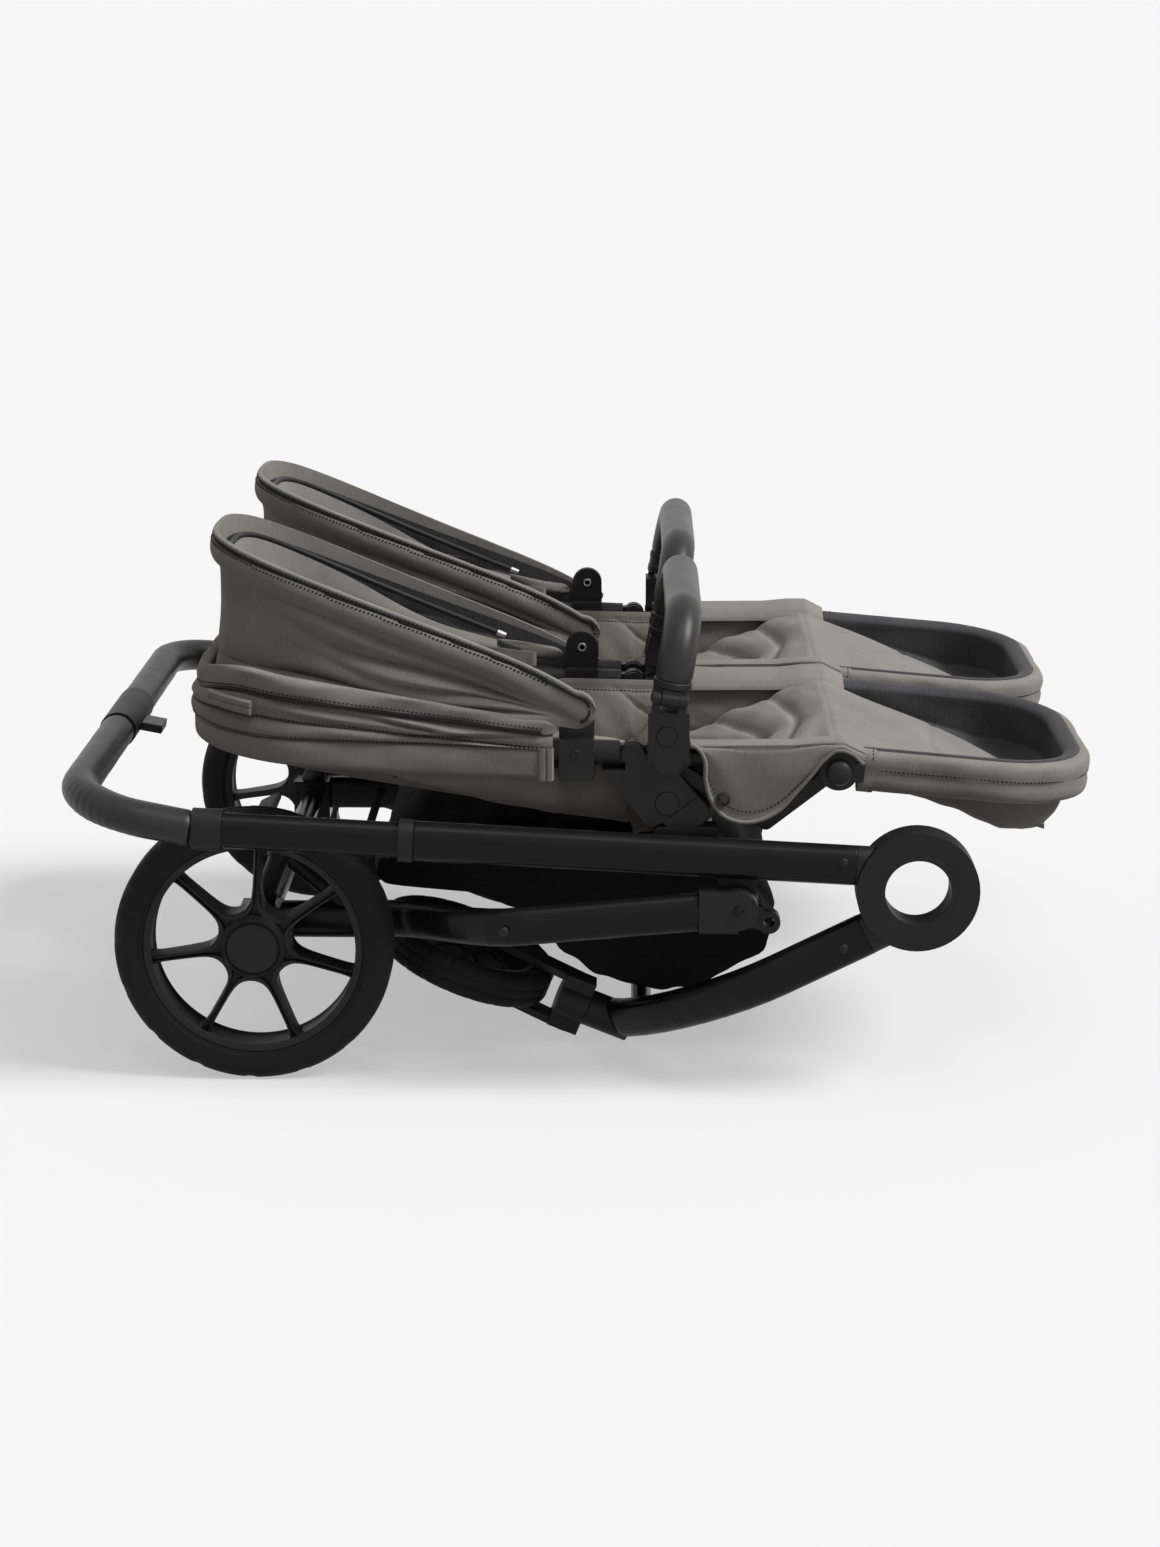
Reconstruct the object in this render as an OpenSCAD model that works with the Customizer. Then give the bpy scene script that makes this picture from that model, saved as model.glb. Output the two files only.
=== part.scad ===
// Side-by-side twin pram, folded flat with both seats on it.
// X runs towards the footrests, Y towards the pram's left side, Z up from the floor.
// Lengths along X are first measured from the rear wheel axle, then shifted to the middle of the pram.

/* [Push tubes] */
// Distance of each push tube from the middle of the pram
push_y = 362; // [350:1:380]
// Width of the outer tube
push_w = 28; // [24:0.5:32]
// Height of the outer tube
push_h = 42; // [38:0.5:48]
// Wall of the outer tube
push_wall = 2; // [1.5:0.1:3]
// Slope of the tubes, down towards the hinge rings
push_tilt = 3; // [1:0.25:4]
// Rear end of the outer tube
push_rear_x = 173; // [150:1:200]
// Front end of the outer tube
push_front_x = 627; // [615:1:632]
// Height of the tube axis at its rear end
push_rear_z = 275; // [268:1:284]
// Length of the collar on the rear end
collar_len = 15; // [10:1:25]

/* [Handle] */
// Rear end of the telescopic tubes, inside the ferrules
handle_root_x = -56; // [-70:1:-45]
// Length of telescopic tube held inside the push tube
tele_hold = 130; // [100:1:180]
// Upward bend of the handle past the tubes
handle_rise = 11; // [4:1:16]
// From the ferrule to the axis of the cross bar
handle_reach = 129; // [120:1:150]
// Radius of the two handle corners
handle_bend_r = 85; // [70:1:100]
// Diameter of the handle core
core_d = 28; // [24:1:32]
// Diameter over the leather grip
grip_d = 38; // [34:1:42]
// Length of a ferrule
ferrule_len = 33; // [20:1:45]
// Length of the centre sleeve
sleeve_len = 120; // [90:1:140]
// Diameter of the centre sleeve
sleeve_d = 41; // [39:1:46]
// Width of the release trigger
trigger_w = 36; // [24:1:50]
// Thickness of the release trigger
trigger_t = 9; // [6:1:12]
// Travel of the trigger
trigger_travel = 4; // [2:0.5:4.5]

/* [Ring hinges] */
// Hinge centre along X
ring_x = 690; // [685:1:700]
// Hinge centre above the floor
ring_z = 227; // [224:1:231]
// Outside diameter of the rings
ring_d = 126; // [120:1:130]
// Diameter of the hollow sleeve that the rings turn on
ring_sleeve_d = 78; // [74:1:84]
// Clear hole through the sleeve
ring_hole_d = 68; // [60:0.5:70]
// Thickness of each ring
ring_t = 16; // [12:0.5:16.5]

/* [Front legs] */
// Width of the leg tube
front_leg_w = 28; // [24:1:32]
// Height of the leg tube
front_leg_h = 44; // [38:1:48]
// Slope of the leg
front_leg_tilt = 27; // [25:0.5:29]
// Distance of the leg axis below the hinge centre
front_leg_drop = 21; // [18:0.5:24]
// Start of the tube, measured along the leg from the hinge
front_leg_start = 68; // [66:1:75]
// Start of the inward bend, measured along the leg
front_leg_bend = 168; // [150:1:180]
// Cross tube diameter
front_cross_d = 22; // [16:1:26]

/* [Casters] */
// Caster axis at the leg end, along X
caster_x = 378; // [370:1:386]
// Distance of the caster axis from the middle of the pram
caster_y = 205; // [195:1:215]
// Slope of the caster axis in the folded pram
caster_tilt = 22; // [20:0.5:24]
// Diameter of the caster socket
caster_d = 40; // [36:1:44]
// Stem diameter
stem_d = 16; // [12:1:18]
// From the leg end to the wheel axle, along the caster axis
caster_reach = 176; // [174:1:182]
// Trail of the wheel axle behind the caster axis
caster_trail = 30; // [20:1:36]
// Front wheel diameter
front_wheel_d = 200; // [180:1:202]
// Front tyre width
front_tyre_w = 38; // [32:1:42]
// Height of the front tyre above the rim
front_tyre_h = 22; // [18:1:26]
// Radius of the front tyre shoulders
front_shoulder = 8.5; // [6:0.5:9]
// Front hub diameter
front_hub_d = 44; // [36:1:50]
// Front axle diameter
front_axle_d = 12; // [10:1:14]

/* [Rear legs] */
// Pivot of the rear legs along X
rear_pivot_x = 506; // [500:1:512]
// Pivot of the rear legs above the floor
rear_pivot_z = 207; // [203:1:209]
// Width of the leg tube
rear_leg_w = 24; // [20:1:28]
// Height of the leg tube
rear_leg_h = 40; // [34:1:44]
// Distance of the upper part of the leg from the middle
rear_leg_y = 370; // [366:1:376]
// Distance of the lower part of the leg from the middle
rear_leg_in_y = 250; // [240:1:256]
// Pivot pin diameter
rear_pin_d = 10; // [8:1:12]
// Hole in the strap eyelet
eyelet_d = 11; // [8:0.5:13]

/* [Rear wheels] */
// Rear wheel diameter
rear_wheel_d = 294; // [284:1:300]
// Rear tyre width
rear_tyre_w = 46; // [40:1:50]
// Distance between the middles of the rear wheels
rear_track = 624; // [616:1:632]
// Spokes of each wheel
spokes = 7; // [5:1:9]
// Angle of the first rear spoke above the floor line
spoke_angle = 86; // [70:1:100]
// Width of a spoke
spoke_w = 12; // [9:0.5:16]
// Height of the rear tyre above the rim
tyre_h = 31; // [28:1:36]
// Radius of the rear tyre shoulders
rear_shoulder = 13; // [8:0.5:14]
// Rear hub diameter
hub_d = 66; // [60:1:76]
// Hub cap diameter
cap_d = 55; // [44:1:58]
// Axle diameter
rear_axle_d = 16; // [12:1:18]
// Axle beam diameter
rear_beam_d = 26; // [22:1:30]

/* [Seats] */
// Distance of each seat's middle from the middle of the pram
seat_y = 180; // [180:0.5:184]
// Distance of the frame rails from the seat's middle
rail_y = 156; // [154:0.5:157]
// Diameter of the back loop tube
loop_d = 24; // [20:1:25]
// Recline pivot along X
recline_x = 398; // [396:1:400]
// Recline pivot above the floor
recline_z = 363; // [361:1:365]
// Rise of the back loop towards the head end
back_tilt = 2.3; // [1:0.1:3]
// Length of the back loop from the pivot to the head end
loop_len = 452; // [440:1:456]
// Corner radius of the back loop
loop_bend_r = 110; // [80:1:130]
// Thickness of the seat bracket
bracket_t = 24; // [20:0.5:26]
// Knee joint along X
knee_x = 608; // [602:1:614]
// Knee joint above the floor
knee_z = 347; // [343:1:351]
// Knee joint diameter
knee_d = 40; // [34:1:42]
// Cross tube and knee axle diameter
knee_axle_d = 12; // [10:1:14]
// Seat pad thickness
pad_t = 26; // [18:1:30]
// Half width of the pads
pad_half_w = 134; // [120:1:137]

/* [Bumper bars] */
// Foot of the bar along X
bar_x = 434; // [432:1:438]
// Diameter over the padding
bar_d = 38; // [32:1:40]
// Forward lean of the bar
bar_lean = 7; // [3:0.5:10]
// Height of the bar axis above the clip
bar_h = 90; // [88:1:110]
// Corner radius of the bar
bar_bend_r = 60; // [48:1:62]
// Height of the ferrule
bar_ferrule_h = 26; // [20:1:28]
// Width of the clip
clip_w = 42; // [38:1:44]
// Clip button diameter
clip_button_d = 20; // [14:1:24]
// Bracket release button diameter
release_d = 24; // [18:1:26]
// Travel of both buttons
button_travel = 3; // [1.5:0.25:3.5]

/* [Canopies] */
// Canopy pivot along X
canopy_x = 340; // [336:1:344]
// Canopy pivot above the floor
canopy_z = 403; // [399:1:407]
// Half width over the hood
hood_half_w = 170; // [168:0.5:172]
// From the pivot back to the upright rear of the hood
hood_len = 382; // [372:1:388]
// Angle of the front rim
hood_rim_angle = 23; // [20:0.5:28]
// Angle of the hood's lower edge
hood_low_angle = 8; // [7:0.25:9]
// Thickness of the hood cloth in its seams
hood_t = 4; // [3:0.5:6]
// Thickness of the lower bow band
band_t = 13; // [8:0.5:13]
// Canopy pin diameter
canopy_pin_d = 8; // [6:0.5:10]

/* [Legrests] */
// From the knee joint to the end of the legrest loop
legrest_len = 259; // [248:1:276]
// Downward slope of the loop
legrest_tilt = 5; // [2:0.5:8]
// Distance of the loop rails from the seat's middle
legrest_y = 150; // [146:0.5:152]
// Thickness of the padded band
legrest_band_t = 24; // [20:0.5:26]
// Height of the padded band
legrest_band_h = 42; // [34:1:46]
// Loop tube diameter
legrest_tube_d = 14; // [10:1:16]
// Corner radius of the loop
legrest_bend_r = 85; // [60:1:110]
// Slope of the calf pad
calf_tilt = 25; // [22:1:28]
// Length of the calf pad
calf_len = 222; // [200:1:236]
// Thickness of the calf pad
calf_t = 22; // [16:1:26]

/* [Fits] */
// Radial running clearance of pins and axles
run_gap = 0.05; // [0.02:0.01:0.1]
// Clearance between moving pieces
clear = 0.4; // [0.3:0.05:0.6]
// Sliding clearance of the telescopic tubes
tele_gap = 0.4; // [0.3:0.05:0.6]

/* [Hidden] */
$fn = 64;
CLOTH = "#645f59";
BLACK = "#1b1b1c";
PLASTIC = "#262627";
RUBBER = "#161616";
LEATHER = "#29292a";
LINING = "#202022";
STEEL = "#9a9a98";

function unit(v) = v / norm(v);
function bez(a, b, c, d, t) =
  pow(1 - t, 3) * a + 3 * pow(1 - t, 2) * t * b + 3 * (1 - t) * t * t * c + pow(t, 3) * d;

// Push tube axis
function push_z(x) = push_rear_z - (x - push_rear_x) * tan(push_tilt);
push_len = (push_front_x - push_rear_x) / cos(push_tilt);
push_in_y = push_y - push_w / 2;
cavity_w = push_w - 2 * push_wall;
cavity_h = push_h - 2 * push_wall;
tele_w = cavity_w - 2 * tele_gap;
tele_h = cavity_h - 2 * tele_gap;

// Hinge layers: the inner ring is on the push tube, the outer ring on the front leg
ring_in_y = push_y - clear / 2 - ring_t;
ring_out_y = push_y + clear / 2;
ring_r = ring_d / 2;

// Rear end of the handle and front end of the legrests give the middle of the pram
handle_end_x = handle_root_x - handle_reach * cos(handle_rise);
legrest_end_x = knee_x + (legrest_len + legrest_band_t / 2) * cos(legrest_tilt);
mid_x = (handle_end_x - sleeve_d / 2 + legrest_end_x) / 2;

// Front leg axis
leg_dir = [-cos(front_leg_tilt), 0, -sin(front_leg_tilt)];
leg_root = [ring_x + front_leg_drop * sin(front_leg_tilt), push_y, ring_z - front_leg_drop * cos(front_leg_tilt)];
function leg_at(s) = leg_root + s * leg_dir;

// Caster axis: the lower rim of the socket stands on the floor
caster_dir = [-cos(caster_tilt), 0, sin(caster_tilt)];
socket_back = 20;
socket_front = 32;
caster_z = caster_d / 2 * cos(caster_tilt) + socket_back * sin(caster_tilt);
caster_foot = [caster_x, caster_y, caster_z];

// Front leg path: straight, then bent inwards to the caster
leg_bend_a = leg_at(front_leg_bend);
leg_end_dir = unit([-31, -40, -11]);
leg_pull = 60;
leg_path = concat(
  [leg_at(front_leg_start), leg_bend_a],
  [for (i = [1:9]) bez(leg_bend_a, leg_bend_a + leg_pull * leg_dir, caster_foot - leg_pull * leg_end_dir, caster_foot, i / 9)]);

// Rear leg path: outboard under the push tube, then inboard of the wheel
rear_axle_z = rear_wheel_d / 2;
rear_beam_r = rear_beam_d / 2;
axle_block = 22;
block_h = 46;
knuckle_len = 40;
knuckle_drop = 4;
rear_straight = 221;
rear_drop = 21;
rear_inner = 88;
rear_rise = 6;
rear_pull = 55;
rear_a = [rear_pivot_x - knuckle_len, rear_leg_y, rear_pivot_z - knuckle_drop];
rear_b = [rear_pivot_x - rear_straight, rear_leg_y, rear_pivot_z - rear_drop];
rear_c = [axle_block + rear_inner, rear_leg_in_y, rear_axle_z + rear_rise];
rear_d = [axle_block, rear_leg_in_y, rear_c.z];
rear_path = concat(
  [rear_a + 4 * unit(rear_a - rear_b)],
  [for (i = [0:10]) bez(rear_b, rear_b + [-rear_pull, 0, -7], rear_c + [rear_pull, 0, 6], rear_c, i / 10)],
  [rear_d]);

// Seat bracket seam: the seat lifts off square to it
seam_tilt = 38.9;
seam_half = 23;
seam_x = 447;
seam_z = push_z(seam_x) + 45;
bracket_in = rail_y - bracket_t / 2;
bracket_out = rail_y + bracket_t / 2;
loop_r = loop_d / 2;
beam_x = 470;
beam_d = 24;
tongue_w = 20;
tongue_len = 34;
tongue_t = 10;
tongue_y = bracket_in + 3;
post_cut = 200;

// Bumper bar foot, on the top rail of the bracket
top_rail_z = recline_z - 2;
clip_h = 41;
bar_z = top_rail_z + loop_r + clear + clip_h;
hinge_y = rail_y + 17;
hinge_z = 8;
hinge_r = 7;
bar_pin_r = 3;
clip_out = bracket_out + 9;

// Knee joint layers
knee_in = 146;
knee_seat_t = 11.6;
knee_leg_in = knee_in + knee_seat_t + clear;
knee_leg_t = 11;
knee_r = knee_d / 2;

// Frame of the whole pram and its two mirrored sides
module in_frame() translate([-mid_x, 0, 0]) children();

module right_side() in_frame() mirror([0, 1, 0]) children();

module left_side() in_frame() children();

module both_sides() {
  right_side() children();
  left_side() children();
}

// The two rails of a seat are mirror images about the seat's middle
module seat_place() translate([0, seat_y, 0]) children();

module both_rails() {
  children();
  mirror([0, 1, 0]) children();
}

// Flat oval, h high and w wide
module oval(w, h) {
  square([w, h - w], center = true);
  for (s = [-1, 1])
    translate([0, s * (h - w) / 2]) circle(d = w);
}

// Extrusion along X: the outline's x is the pram's Y and its y is Z
module along_x(length) rotate([90, 0, 90]) linear_extrude(length) children();

// Extrusion along the push tube axis from x
module on_push(x, length)
  translate([x, push_y, push_z(x)]) rotate([0, push_tilt, 0]) along_x(length) children();

// Outline drawn in XZ, thickened from y0 to y1
module plate(y0, y1) translate([0, y1, 0]) rotate([90, 0, 0]) linear_extrude(y1 - y0) children();

// Round bar along Y
module bar_y(x, z, d, y0, y1) translate([x, y0, z]) rotate([-90, 0, 0]) cylinder(d = d, h = y1 - y0);

// Round bar between two points
module rod(a, b, d) {
  v = b - a;
  translate(a) rotate([0, acos(v.z / norm(v)), atan2(v.y, v.x)]) cylinder(d = d, h = norm(v));
}

// Flat strip from a to b in XZ with round ends
module strip_2d(a, b, w) {
  v = b - a;
  translate(a) rotate(atan2(v.y, v.x)) translate([0, -w / 2]) square([norm(v), w]);
  for (p = [a, b])
    translate(p) circle(d = w);
}

// Oval tube swept along a path, its width kept towards Y
module swept_oval(path, w, h, sides = 24) {
  last = len(path) - 1;
  rings = [for (i = [0:last])
    let (t = unit(path[min(i + 1, last)] - path[max(i - 1, 0)]),
         side = unit([0, 1, 0] - t.y * t),
         up = cross(t, side))
    for (j = [0:sides - 1])
      let (a = 360 * j / sides, c = cos(a), s = sin(a))
      path[i] + side * w / 2 * sign(c) * pow(abs(c), 0.75) + up * h / 2 * sign(s) * pow(abs(s), 0.75)];
  walls = [for (i = [0:last - 1], j = [0:sides - 1])
    let (a = i * sides + j, b = i * sides + (j + 1) % sides)
    each [[a, a + sides, b + sides], [a, b + sides, b]]];
  caps = [for (j = [1:sides - 2])
    each [[0, j, j + 1], [last * sides, last * sides + j + 1, last * sides + j]]];
  polyhedron(rings, concat(walls, caps));
}

// Closed solid between two grids of (m + 1) by (k + 1) points
module sheet_solid(outer, inner, m, k) {
  n = (m + 1) * (k + 1);
  function at(i, j) = i * (k + 1) + j;
  faces = [for (i = [0:m - 1], j = [0:k - 1])
    let (a = at(i, j), b = at(i + 1, j), c = at(i + 1, j + 1), d = at(i, j + 1))
    each [[a, b, c], [a, c, d], [n + a, n + c, n + b], [n + a, n + d, n + c]]];
  long_edges = [for (i = [0:m - 1])
    let (a = at(i, 0), b = at(i + 1, 0), c = at(i + 1, k), d = at(i, k))
    each [[b, a, n + a], [b, n + a, n + b], [d, c, n + c], [d, n + c, n + d]]];
  short_edges = [for (j = [0:k - 1])
    let (a = at(0, j), d = at(0, j + 1), b = at(m, j), c = at(m, j + 1))
    each [[a, d, n + d], [a, n + d, n + a], [c, b, n + b], [c, n + b, n + c]]];
  polyhedron(concat(outer, inner), concat(faces, long_edges, short_edges));
}

// Crowned pad on the line from a to b in XZ, with drawn-in sides and sewn cross channels at the shares given
module cushion(a, b, half_w, thick, channels = [], draw_in = 5, nx = 22, ny = 12) {
  edge = 6;
  groove = 4;
  dir = unit(b - a);
  up = [-dir.y, dir.x];
  function top(u, v) = edge + (thick - edge) * sqrt((1 - pow(abs(2 * u - 1), 4)) * (1 - pow(v, 4)))
    - groove * (1 - v * v) * max(concat([0], [for (c = channels) exp(-pow((u - c) * 24, 2))]));
  function spot(u, v, h) =
    let (uu = 0.5 + (u - 0.5) * (1 - 2 * draw_in / norm(b - a) * (1 - v * v)), p = a + (b - a) * uu + up * h)
    [p.x, v * (half_w - draw_in * sin(180 * u)), p.y];
  crown = [for (i = [0:nx], j = [0:ny]) spot(i / nx, 1 - 2 * j / ny, top(i / nx, 1 - 2 * j / ny))];
  base = [for (i = [0:nx], j = [0:ny]) spot(i / nx, 1 - 2 * j / ny, 0)];
  sheet_solid(crown, base, nx, ny);
}

// Chassis
module push_tube() on_push(push_rear_x, push_len) difference() {
  oval(push_w, push_h);
  oval(cavity_w, cavity_h);
}

module push_tube_right() color(BLACK) right_side() push_tube();

module push_tube_left() color(BLACK) left_side() push_tube();

module tube_collars() color(PLASTIC) both_sides() on_push(push_rear_x - collar_len * cos(push_tilt), collar_len)
  difference() {
    oval(push_w + 3, push_h + 3);
    oval(tele_w + 2 * clear, tele_h + 2 * clear);
  }

module ring_bar(d, y0, y1) bar_y(ring_x, ring_z, d, y0, y1);

module push_rings() color(PLASTIC) both_sides() difference() {
  union() {
    ring_bar(ring_d, ring_in_y, ring_in_y + ring_t);
    on_push(push_front_x, ring_x - push_front_x) oval(push_w, push_h);
    on_push(push_front_x - 30, 40) oval(cavity_w, cavity_h);
  }
  ring_bar(ring_d + 2 * clear, ring_out_y - clear, push_y + push_w);
  ring_bar(ring_sleeve_d, ring_in_y - push_w, push_y + push_w);
}

module ring_sleeves() color(PLASTIC) both_sides() difference() {
  ring_bar(ring_sleeve_d, ring_in_y, ring_out_y + ring_t);
  ring_bar(ring_hole_d, ring_in_y - 1, ring_out_y + ring_t + 1);
}

module beam_bar(d, y0, y1) bar_y(beam_x, push_z(beam_x), d, y0, y1);

module seat_beam() color(BLACK) in_frame()
  beam_bar(beam_d, -seat_y - bracket_in, seat_y + bracket_in);

// Frame of the bracket seam: x along it, y square to it and up
module seam_2d() translate([seam_x, seam_z]) rotate(seam_tilt) children();

module post_outline() difference() {
  union() {
    seam_2d() translate([-seam_half, -26]) square([2 * seam_half, 26]);
    translate([seam_x - 28, push_z(seam_x) - 12]) square([rear_pivot_x - lug_half - seam_x + 27, 38]);
  }
  seam_2d() translate([-4 * seam_half, 0]) square([8 * seam_half, post_cut]);
  seam_2d() translate([seam_half, -post_cut]) rotate(-24) square([post_cut, 2 * post_cut]);
}

module post_tongue(y) plate(y, y + tongue_t)
  seam_2d() translate([-tongue_w / 2, -10]) square([tongue_w, tongue_len + 10]);

module seat_posts() color(PLASTIC) {
  both_sides() {
    plate(seat_y + bracket_in, push_in_y) post_outline();
    post_tongue(seat_y + tongue_y);
  }
  in_frame() {
    difference() {
      plate(bracket_in - seat_y, seat_y - bracket_in) post_outline();
      beam_bar(beam_d, -seat_y, seat_y);
    }
    both_rails() post_tongue(seat_y - tongue_y - tongue_t);
  }
}

// Rear leg bracket: a lug under the push tube, with a strap eyelet in front
lug_out_y = rear_leg_y - rear_leg_w / 2 - clear;
lug_t = 16;
lug_in_y = min(lug_out_y - lug_t, push_in_y);
lug_half = 20;
eyelet = [rear_pivot_x + 33, rear_pivot_z - 20];

module leg_brackets() color(PLASTIC) both_sides() difference() {
  plate(lug_in_y, lug_out_y) difference() {
    union() {
      translate([rear_pivot_x, rear_pivot_z]) circle(r = 22);
      translate([rear_pivot_x - lug_half, rear_pivot_z]) square([2 * lug_half, push_z(rear_pivot_x) - rear_pivot_z]);
      strip_2d([rear_pivot_x, rear_pivot_z - 12], eyelet, 20);
      translate(eyelet) circle(d = eyelet_d + 13);
    }
    translate(eyelet) circle(d = eyelet_d);
  }
  on_push(rear_pivot_x - 3 * lug_half, 6 * lug_half) oval(push_w, push_h);
  bar_y(rear_pivot_x, rear_pivot_z, rear_pin_d, 0, 2 * push_y);
}

module pivot_pins() color(STEEL) both_sides()
  bar_y(rear_pivot_x, rear_pivot_z, rear_pin_d, lug_in_y, rear_leg_y + rear_leg_w / 2 + 2);

// Handle: local -X runs from the ferrule to the cross bar
handle_root = [handle_root_x, 0, push_z(handle_root_x)];

module handle_place() in_frame() translate(handle_root) rotate([0, handle_rise, 0]) children();

module handle_u(d, start, stop_y) both_rails() {
  straight = handle_reach - handle_bend_r;
  translate([-straight, push_y, 0]) rotate([0, 90, 0]) cylinder(d = d, h = straight - start);
  translate([-straight, push_y - handle_bend_r, 0]) rotate(90)
    rotate_extrude(angle = 90) translate([handle_bend_r, 0]) circle(d = d);
  bar_y(-handle_reach, 0, d, stop_y, push_y - handle_bend_r);
}

module handle_bar() color(BLACK) {
  handle_place() handle_u(core_d, 0, 0);
  both_sides() on_push(handle_root_x, (push_rear_x + tele_hold - handle_root_x) / cos(push_tilt)) oval(tele_w, tele_h);
}

module handle_grips() color(LEATHER) handle_place() difference() {
  handle_u(grip_d, 4, sleeve_len / 2);
  handle_u(core_d, 0, 0);
}

// The ferrule starts clear of the core, whose end leans by the difference of the two slopes
ferrule_gap = core_d / 2 * abs(sin(handle_rise - push_tilt)) + clear;

module grip_ferrules() color(PLASTIC) both_sides()
  on_push(handle_root_x + ferrule_gap, ferrule_len - ferrule_gap) difference() {
    oval(push_w + 2, push_h + 2);
    oval(tele_w, tele_h);
  }

module trigger_block(grow, depth) {
  inner = core_d / 2 + 0.6 + depth;
  translate([-handle_reach + inner, -trigger_w / 2 - 8 - grow, -trigger_t / 2 - grow])
    cube([sleeve_d / 2 + 24 - inner, trigger_w + 2 * grow, trigger_t + 2 * grow]);
}

module handle_sleeve() color(PLASTIC) handle_place() difference() {
  bar_y(-handle_reach, 0, sleeve_d, -sleeve_len / 2, sleeve_len / 2);
  bar_y(-handle_reach, 0, core_d, -sleeve_len, sleeve_len);
  trigger_block(clear, 0);
}

module handle_trigger() color(BLACK) handle_place() trigger_block(0, trigger_travel + 0.4);

// Front frame
module caster_bar(d, t0, t1) translate(caster_foot) rotate([0, -90 + caster_tilt, 0])
  translate([0, 0, t0]) cylinder(d = d, h = t1 - t0);

module front_leg() difference() {
  swept_oval(leg_path, front_leg_w, front_leg_h);
  caster_bar(caster_d, -socket_back - 40, socket_front + 40);
}

module front_leg_right() color(BLACK) right_side() front_leg();

module front_leg_left() color(BLACK) left_side() front_leg();

module front_rings() color(PLASTIC) both_sides() difference() {
  union() {
    ring_bar(ring_d, ring_out_y, ring_out_y + ring_t);
    translate(leg_at(front_leg_start)) rotate([0, -front_leg_tilt, 0])
      along_x(front_leg_start) oval(front_leg_w, front_leg_h);
  }
  ring_bar(ring_d + 2 * clear, 0, ring_out_y);
  ring_bar(ring_sleeve_d + 2 * run_gap, 0, 2 * push_y);
}

// The cross tube joins the legs on the inner side of their bends
cross_at = leg_path[8];

module front_cross_tube() color(BLACK) difference() {
  in_frame() bar_y(cross_at.x, cross_at.z, front_cross_d, -cross_at.y, cross_at.y);
  both_sides() {
    swept_oval(leg_path, front_leg_w, front_leg_h);
    caster_bar(caster_d, -socket_back, socket_front);
  }
}

module caster_sockets() color(PLASTIC) both_sides() difference() {
  caster_bar(caster_d, -socket_back, socket_front);
  caster_bar(stem_d + 2 * run_gap, -socket_back + 6, socket_front + 1);
}

// Caster fork frame: local X along the caster axis, Z square to the wheel, -Y inboard
module caster_place() translate(caster_foot) rotate([0, -90 + caster_tilt, 0]) rotate([0, -90, 0]) children();

fork_t = 8;
fork_gap = front_tyre_w / 2 + 4;
crown_len = 34;

module caster_fork() caster_place() {
  translate([-socket_back + 8, 0, 0]) rotate([0, 90, 0]) cylinder(d = stem_d, h = socket_back + socket_front);
  translate([socket_front + clear, 0, 0]) rotate([0, 90, 0]) cylinder(d = caster_d + 4, h = crown_len);
  for (s = [-1, 1])
    translate([0, 0, s * (fork_gap + fork_t / 2) - fork_t / 2]) linear_extrude(fork_t)
      strip_2d([socket_front + 18, 0], [caster_reach, -caster_trail], 30);
  translate([socket_front + clear, -14, -fork_gap - fork_t]) cube([crown_len, 28, 2 * (fork_gap + fork_t)]);
  translate([caster_reach, -caster_trail, -fork_gap - 1]) cylinder(d = front_axle_d, h = 2 * fork_gap + 2);
}

module caster_fork_right() color(PLASTIC) right_side() caster_fork();

module caster_fork_left() color(PLASTIC) left_side() caster_fork();

// Wheel about Z: rim, filleted spokes, hub and bore
module wheel(d, tyre_w, rise, hub, bore, first) {
  rim_r = d / 2 - rise;
  rim_w = tyre_w - 10;
  difference() {
    union() {
      rotate_extrude() translate([rim_r - 8, -rim_w / 2]) square([8, rim_w]);
      translate([0, 0, -tyre_w / 2 + 2]) cylinder(d = hub, h = tyre_w - 4);
      for (i = [0:spokes - 1])
        rotate(first + 360 * i / spokes) translate([hub / 2 - 6, -spoke_w / 2, -11])
          cube([rim_r - hub / 2, spoke_w, 22]);
    }
    for (i = [0:spokes - 1], s = [-1, 1])
      rotate(first + 360 * i / spokes) translate([hub / 2 + 3, -spoke_w / 4, s * 11 - 4])
        cube([rim_r - hub / 2 - 14, spoke_w / 2, 8]);
    translate([0, 0, -tyre_w]) cylinder(d = bore, h = 2 * tyre_w);
  }
}

// Tyre about Z with round shoulders
module tyre(d, w, rise, shoulder) {
  bead_r = d / 2 - rise;
  rotate_extrude() {
    translate([bead_r, -w / 2]) square([d / 2 - shoulder - bead_r, w]);
    translate([bead_r, -w / 2 + shoulder]) square([d / 2 - bead_r, w - 2 * shoulder]);
    for (s = [-1, 1])
      translate([d / 2 - shoulder, s * (w / 2 - shoulder)]) circle(r = shoulder);
  }
}

module front_wheel_place() caster_place() translate([caster_reach, -caster_trail, 0]) children();

module front_wheel() front_wheel_place()
  wheel(front_wheel_d, front_tyre_w, front_tyre_h, front_hub_d, front_axle_d + 2 * run_gap, 0);

module front_tyre() front_wheel_place() tyre(front_wheel_d, front_tyre_w, front_tyre_h, front_shoulder);

module front_wheel_right() color(PLASTIC) right_side() front_wheel();

module front_wheel_left() color(PLASTIC) left_side() front_wheel();

module front_tyre_right() color(RUBBER) right_side() front_tyre();

module front_tyre_left() color(RUBBER) left_side() front_tyre();

// Rear frame
// The leg is cut square where it meets the knuckle
module rear_leg() difference() {
  swept_oval(rear_path, rear_leg_w, rear_leg_h);
  translate([rear_a.x, rear_leg_y - rear_leg_h, rear_a.z - rear_leg_h]) cube(2 * rear_leg_h);
}

module rear_leg_right() color(BLACK) right_side() rear_leg();

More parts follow.
